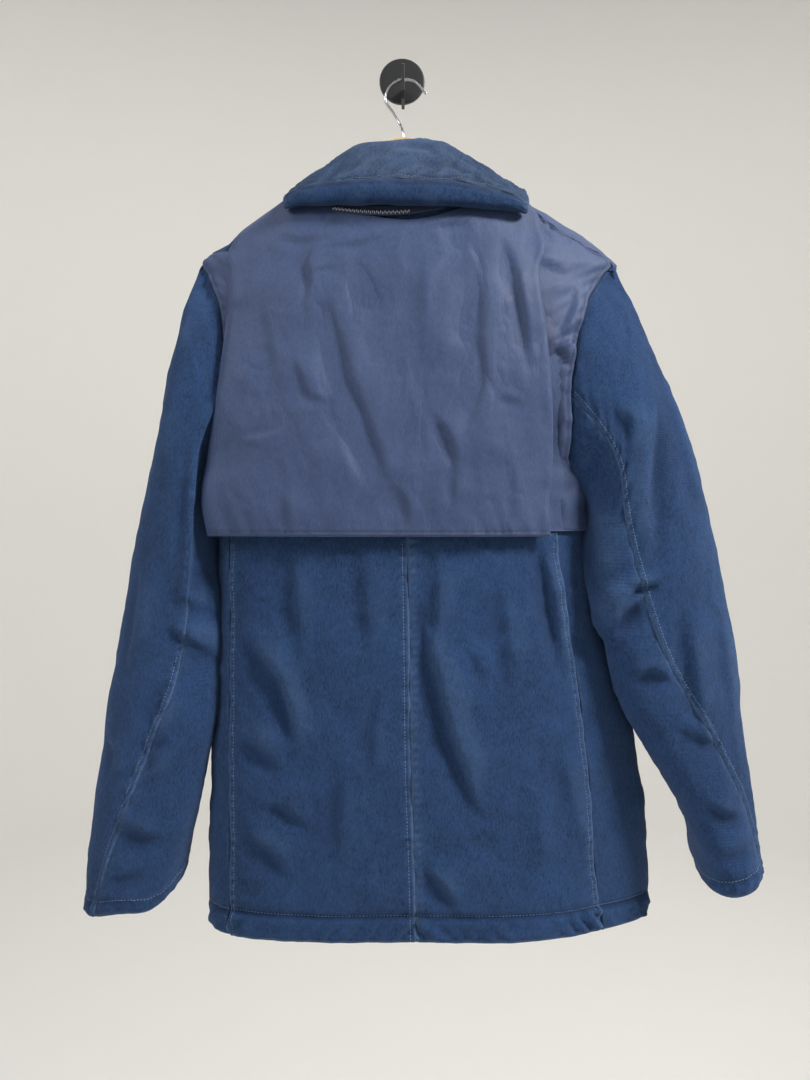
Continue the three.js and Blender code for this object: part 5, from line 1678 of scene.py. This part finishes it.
def pouch():
    along, around = 150, 44
    share = np.linspace(0, 1, along + 1)
    place = share * (len(ROLL) - 1)
    x, y, z, high, deep = (table_value(ROLL, c, place, True)[:, None] for c in range(5))
    taper = np.sqrt(np.clip(1 - (2 * share - 1) ** 24, 0.02, 1))[:, None]
    turn = np.linspace(0, 2 * math.pi, around, endpoint=False)[None]
    ring_x = np.broadcast_to(x, (along + 1, around))
    round_it = np.broadcast_to(turn * 11, ring_x.shape)
    ripple = 0.9 * dapple(ring_x, round_it, 34, 91) + 0.35 * dapple(ring_x, round_it, 12, 92)
    near_end = bell(np.minimum(share, 1 - share), 0.12)[:, None]
    gather = 0.7 * near_end * np.sin(turn * 9 + 1.3 * np.sin(turn * 2))
    size = taper * (1 + (ripple + gather) / np.maximum(high, 6))
    points = np.stack([ring_x, y + deep * size * np.cos(turn), z + high * size * np.sin(turn)], axis=-1)
    uv = np.stack([ring_x, round_it], axis=-1).reshape(-1, 2)
    # Paler on the tops of its ripples and at its ends. Painted shade along the top, under the fall, and
    # along the bottom, above the zip.
    wear_and_highlight = 0.25 * np.clip(ripple, 0, 1) + 0.5 * near_end
    painted_shade_top_and_bottom = 1.5 * smooth((np.sin(turn) - 0.25) / 0.4) + 0.8 * smooth((-0.6 - np.sin(turn)) / 0.3)
    painted_shade_top_and_bottom = np.broadcast_to(painted_shade_top_and_bottom, wear_and_highlight.shape)
    piece = link_mesh("hood_pouch", points.reshape(-1, 3), ring_faces(along + 1, around), TWILL, uv,
                      {"wear_and_highlight": wear_and_highlight.ravel(), "seam": painted_shade_top_and_bottom.ravel()})
    settle(piece, "twill", "collar_pouch")
    return piece


pouch_piece = pouch()


# %% The zip
ZIP_CLOTH = 1.2
TEETH, TEETH_ROW = 40, 0.26       # how many, and where on the tape's height
TOOTH_LONG, TOOTH_WIDE, TOOTH_TALL, TOOTH_STAGGER = 0.55, 1.25, 0.95, 0.55


def zip_line(u, v):
    """A spot on the zip's tape: u from side to side and v from its lower to its upper edge."""
    t = mix(-0.87, 0.48, u)
    z = mix(-174 - 8.5 * np.sin(np.pi * u), -171.0, v)
    points, normals = body_spot(t, z)
    return points + normals * (CAPE_CLEARANCE + SEAM_GAP + ZIP_CLOTH + 0.3), normals


def zip_tape():
    u, v = np.meshgrid(np.linspace(0, 1, 70), np.linspace(0, 1, 9))
    points, normals = zip_line(u, v)
    d = edge_distances(points)
    relief = 0.12 * np.sin(d["first"] * 2.2)
    piece, _ = cloth_piece("zip_tape_strip", points, normals, relief, ZIP_CLOTH, ZIP_TAPE_CLOTH,
                           d, np.zeros_like(relief))
    settle(piece, "zip_tape", "collar_zip_tape")
    return piece


def zip_teeth():
    """Small rounded metal teeth, closed in pairs, that stand on the tape's lower part."""
    u, v = np.linspace(0.03, 0.68, TEETH), np.full(TEETH, TEETH_ROW)
    spots, normals = zip_line(u, v)
    ahead, _ = zip_line(u + 0.004, v)
    along = unit(ahead - spots)
    across = np.cross(normals, along)
    corners = [(a, b, c) for c in (0, 1) for a, b in
               ((-1, -0.6), (-0.6, -1), (0.6, -1), (1, -0.6), (1, 0.6), (0.6, 1), (-0.6, 1), (-1, 0.6))]
    vertices, faces = [], []
    for k in range(TEETH):
        start = len(vertices)
        offset = TOOTH_STAGGER if k % 2 else -TOOTH_STAGGER
        for a, b, c in corners:
            shrink = 1 - 0.25 * c
            vertices.append(spots[k] + along[k] * TOOTH_LONG * a * shrink
                            + across[k] * (TOOTH_WIDE * b * shrink + offset)
                            + normals[k] * (0.05 + TOOTH_TALL * c))
        for j in range(8):
            n = (j + 1) % 8
            faces.append((start + j, start + n, start + 8 + n, start + 8 + j))
        faces.append(tuple(start + 8 + j for j in range(8)))
        faces.append(tuple(start + j for j in reversed(range(8))))
    piece = link_mesh("zip_teeth", np.array(vertices), faces, ZIP_METAL, rounded=False)
    settle(piece, "steel_wire")
    return piece


tape_piece = zip_tape()
teeth_piece = zip_teeth()
print("zip teeth faces:", len(teeth_piece.data.polygons))

# %% [markdown]
# ## Thread
#
# Every visible row of stitches was noted while the panels were made. Now each row
# becomes real thread: a small grain for every stitch, dipping into the cloth at its
# ends. The twill is sewn with a thread that has washed out paler than the cloth.

# %% Stitches
body_thread = stitch_mesh("topstitching_twill", THREAD_ROWS["body_thread"], PALE_THREAD)
cape_thread = stitch_mesh("topstitching_nylon", THREAD_ROWS["cape_thread"], DARK_THREAD,
                          pitch=2.8, length=2.0, radius=0.26)
settle(body_thread, "twill")
settle(cape_thread, "nylon")
print("stitch faces:", len(body_thread.data.polygons), len(cape_thread.data.polygons))

# %% [markdown]
# ## The hanger and the wall hook
#
# The hanger is bent beech, nearly all hidden in the coat. Its steel wire comes out of
# the crown and hooks over a flat black prong, which stands on a round black plate.

# %% The wooden arms
HANGER_LINE = ((-190, -213), (-165, -195), (-118, -163), (-84, -149), (-45, -110), (-18, -86.5),
               (2, -80), (22, -86.5), (52, -108), (98, -151), (133, -163), (190, -196), (203, -207))
HANGER_LEFT, HANGER_RIGHT = HANGER_LINE[0][0], HANGER_LINE[-1][0]
HANGER_Y, HANGER_THICK = -43.5, 9.0


def hanger_wood():
    stations, sides = 220, 28
    x = np.linspace(HANGER_LEFT, HANGER_RIGHT, stations)
    top = table_value(HANGER_LINE, 1, x)
    out = np.where(x < 0, x / HANGER_LEFT, x / HANGER_RIGHT)
    tall = mix(24.0, 15.0, out ** 3)
    from_end = np.minimum(x - HANGER_LEFT, HANGER_RIGHT - x)
    rounded = np.sqrt(np.clip(1 - (1 - np.clip(from_end / 6, 0, 1)) ** 2, 0.01, 1))
    c, s = squarish(np.linspace(0, 2 * math.pi, sides, endpoint=False), 0.5)
    y = HANGER_Y + rounded[:, None] * HANGER_THICK / 2 * c[None]
    z = (top - tall / 2)[:, None] + rounded[:, None] * (tall / 2)[:, None] * s[None]
    vertices = np.stack([np.broadcast_to(x[:, None], y.shape), y, z], axis=-1).reshape(-1, 3)
    faces = face_out_any(vertices, ring_faces(stations, sides))
    piece = link_mesh("hanger_arms", vertices, faces, WOOD)
    settle(piece, "wood", "hanger_wood")
    return piece


def tube(name, line, radius, material):
    """A round bar along a line of points, with a domed end."""
    sides = 18
    line = np.asarray(line, float)
    along = unit(np.gradient(line, axis=0))
    side = unit(np.cross(along, np.array((0.0, 1.0, 0.02))))
    lift = np.cross(side, along)
    size = np.full(len(line), radius)
    for k, share in enumerate((0.15, 0.6, 0.85, 0.97)):
        size[-1 - k] = radius * share
    turn = np.linspace(0, 2 * math.pi, sides, endpoint=False)[None, :, None]
    spokes = side[:, None] * np.cos(turn) + lift[:, None] * np.sin(turn)
    vertices = (line[:, None] + size[:, None, None] * spokes).reshape(-1, 3)
    return link_mesh(name, vertices, face_out_any(vertices, ring_faces(len(line), sides)), material)


WIRE_RADIUS = 1.5
HOOK_X, HOOK_Y, HOOK_Z, HOOK_RADIUS = 3.4, -33.0, -34.2, 21.0     # the round of the wire hook


def hanger_wire():
    foot = table_value(HANGER_LINE, 1, np.array(2.0))
    points = [(2.0, HANGER_Y, float(foot) - 1.0), (0.8, HANGER_Y + 2, -72), (-2.0, -35, -62),
              (-10.0, HOOK_Y, -48)]
    for degrees in np.arange(188, 40, -18.5):
        a = math.radians(degrees)
        points.append((HOOK_X + HOOK_RADIUS * math.cos(a), HOOK_Y, HOOK_Z + HOOK_RADIUS * math.sin(a)))
    points.append((25.5, HOOK_Y, -28.0))
    points = [np.array(p, float) for p in points]
    points = [2 * points[0] - points[1]] + points + [2 * points[-1] - points[-2]]
    steps = np.linspace(0, 1, 9)[:, None]
    line = np.concatenate([centripetal(*points[k:k + 4], steps)[:-1] for k in range(len(points) - 3)]
                          + [points[-2][None]])
    tip = np.array([line[-1] + unit(line[-1] - line[-2]) * f for f in (0.35, 0.7, 1.0, 1.2)])
    piece = tube("hanger_wire", np.concatenate([line, tip]), WIRE_RADIUS, WIRE_METAL)
    settle(piece, "steel_wire", "hanger_hook")
    return piece


# %% The wall hook
PLATE_RADIUS, PLATE_THICK, PLATE_ROUND = 25.0, 5.0, 1.5
PRONG_X, PRONG_THICK = 1.2, 3.4


def wall_plate():
    """A turned disc with a softly rounded front edge."""
    sides = 96
    soft = [(PLATE_RADIUS - PLATE_ROUND * (1 - math.sin(a)),
             PLATE_THICK - PLATE_ROUND * (1 - math.cos(a)))
            for a in (math.pi / 2, 1.18, 0.79, 0.39, 0.0)]
    profile = ([(PLATE_RADIUS - 0.3, 0.0), (PLATE_RADIUS, 0.4)] + soft
               + [(19.0, PLATE_THICK + 0.08), (10.0, PLATE_THICK), (3.0, PLATE_THICK)])
    turn = np.linspace(0, 2 * math.pi, sides, endpoint=False)
    vertices = np.array([(r * math.cos(a), -h, r * math.sin(a)) for r, h in profile for a in turn])
    faces = face_out_any(vertices, ring_faces(len(profile), sides))
    piece = link_mesh("wall_plate_disc", vertices, faces, HOOK_PAINT)
    settle(piece, "hook_paint", "wall_plate")
    return piece


def wall_prong():
    """A flat bar cut to a hook's outline; the wire rests in the notch behind its tip."""
    outline = ((5.0, -32), (36, -35), (42, -29), (42, -1), (40, 1), (38, -1), (37, -11.3), (34, -15.3),
               (29, -15.7), (22, -12.3), (5.0, -10.3))
    sides = (PRONG_X - PRONG_THICK / 2, PRONG_X + PRONG_THICK / 2)
    vertices = np.array([(x, -out, z) for x in sides for out, z in outline])
    faces = face_out_any(vertices, ring_faces(2, len(outline)))
    piece = link_mesh("wall_prong_bar", vertices, faces, HOOK_PAINT, rounded=False)
    soften = piece.modifiers.new("soft edges", "BEVEL")
    soften.width = 0.55 * METRES
    soften.segments = 3
    settle(piece, "hook_paint", "wall_prong")
    return piece


hanger_pieces = [hanger_wood(), hanger_wire(), wall_plate(), wall_prong()]
print("hanger and hook:", [p.name for p in hanger_pieces])

# %% [markdown]
# ## The cut pieces
#
# Every cloth piece was cut flat from a rectangle. Here the names of the cut pieces are
# only gathered in a list. For the sleeves, a table gives the width and length of the
# rectangle in metres, the share of it that the cut fills and a neighbouring panel, but
# nothing reads these numbers.

# %% Flat cuts
cut_pieces = []


def cut(piece):
    """Adds one piece's name to the list of cut pieces."""
    cut_pieces.append(piece.name)


for back_piece in back_pieces:
    cut(back_piece)
cut(front_pieces[0])
cut(front_pieces[1])
for yoke_piece in yoke_pieces:
    cut(yoke_piece)
cut(fly_piece)
cut(cape_piece)
cut(under_pieces["left"])
cut(under_pieces["right"])
SLEEVE_CUTS = (
    (0.31, 0.675, 0.52, "back_left_panel"),
    (0.165, 0.56, 0.69, "back_left_panel"),
    (0.325, 0.64, 0.59, "back_right_panel"),
    (0.17, 0.54, 0.80, "back_right_panel"),
)
for sleeve_piece, (width, length, share, neighbour) in zip(sleeve_pieces, SLEEVE_CUTS):
    cut(sleeve_piece)
cut(collar_piece)
cut(tape_piece)
print("flat cuts:", len(cut_pieces), "and one padded piece:", pouch_piece.name)

# %% [markdown]
# ## Room, light and camera
#
# The coat hangs by itself over a plain pale floor that sweeps up all round, like the
# cove of a studio. Two small windows light it from both sides of the camera, and the
# right one is the stronger, so that every fold shades. Two broad lamps light the sweep
# itself, before and behind the coat, and the pale room fills the shadows.
# The camera stands one metre from the wall plate and looks straight at the coat's back.

# %% The sweep
FLOOR_Z = -1750.0
SWEEP_FLAT, SWEEP_BEND = 3.15, 1.35     # metres of flat floor, and the radius of its bend


def studio_sweep():
    profile = [(0.0, 0.0)] + [(0.35 * k, 0.0) for k in range(1, 10)]
    for k in range(1, 13):
        a = k / 12 * math.pi / 2
        profile.append((SWEEP_FLAT + SWEEP_BEND * math.sin(a), SWEEP_BEND * (1 - math.cos(a))))
    profile += [(SWEEP_FLAT + SWEEP_BEND, height) for height in (2.2, 3.4, 4.8)]
    sides = 96
    turn = np.linspace(0, 2 * math.pi, sides, endpoint=False)
    vertices = [(0.0, 0.0, FLOOR_Z)]
    vertices += [(1000 * r * math.cos(a), 1000 * r * math.sin(a), 1000 * h + FLOOR_Z)
                 for r, h in profile[1:] for a in turn]
    faces = [(0, 1 + j, 1 + (j + 1) % sides) for j in range(sides)]
    for i in range(len(profile) - 2):
        for j in range(sides):
            a, b = 1 + i * sides + j, 1 + i * sides + (j + 1) % sides
            faces.append((a, a + sides, b + sides, b))
    wall = plain_material("studio_paint", (0.80, 0.79, 0.76, 1), 0.9, speckle=0.01, scale=3.0, bump=0.0)
    return link_mesh("studio_sweep", np.array(vertices), faces, wall)


sweep = studio_sweep()


# %% Lights
def area_light(name, place, aim, size, power, colour=(1, 1, 1)):
    lamp = bpy.data.lights.new(name, "AREA")
    lamp.shape = "RECTANGLE"
    lamp.size, lamp.size_y = size
    lamp.energy = power
    lamp.color = colour
    holder = bpy.data.objects.new(name, lamp)
    holder.location = place
    direction = Vector(aim) - Vector(place)
    holder.rotation_euler = direction.to_track_quat("-Z", "Y").to_euler()
    bpy.context.scene.collection.objects.link(holder)
    return holder


area_light("window_right", (1.75, -0.95, 1.25), (0.0, -0.1, -0.6), (0.55, 0.55), 82, (1.0, 0.99, 0.97))
area_light("window_left", (-1.5, -1.1, 0.9), (0.0, -0.1, -0.6), (0.6, 0.8), 18, (0.97, 0.985, 1.0))
area_light("glow_on_sweep", (0.0, 1.0, 2.3), (0.0, 4.6, -0.9), (4.0, 1.0), 68, (1.0, 0.985, 0.955))
area_light("glow_behind", (0.0, -1.6, 2.5), (0.0, -4.6, -0.9), (4.0, 1.0), 10)
world = bpy.data.worlds.new("pale_room")
world.use_nodes = True
world.node_tree.nodes["Background"].inputs["Color"].default_value = (0.93, 0.95, 1.0, 1)
world.node_tree.nodes["Background"].inputs["Strength"].default_value = 0.10
bpy.context.scene.world = world
bpy.context.scene.view_settings.view_transform = "Standard"

# %% Camera
eye = bpy.data.cameras.new("camera")
eye.lens = 30.0
eye.sensor_width = 36.0
eye.dof.use_dof = False
camera = bpy.data.objects.new("camera", eye)
camera.location = (0.0033, -1.0, -0.5078)
camera.rotation_euler = (math.pi / 2, 0.0, 0.0)
bpy.context.scene.collection.objects.link(camera)
bpy.context.scene.camera = camera
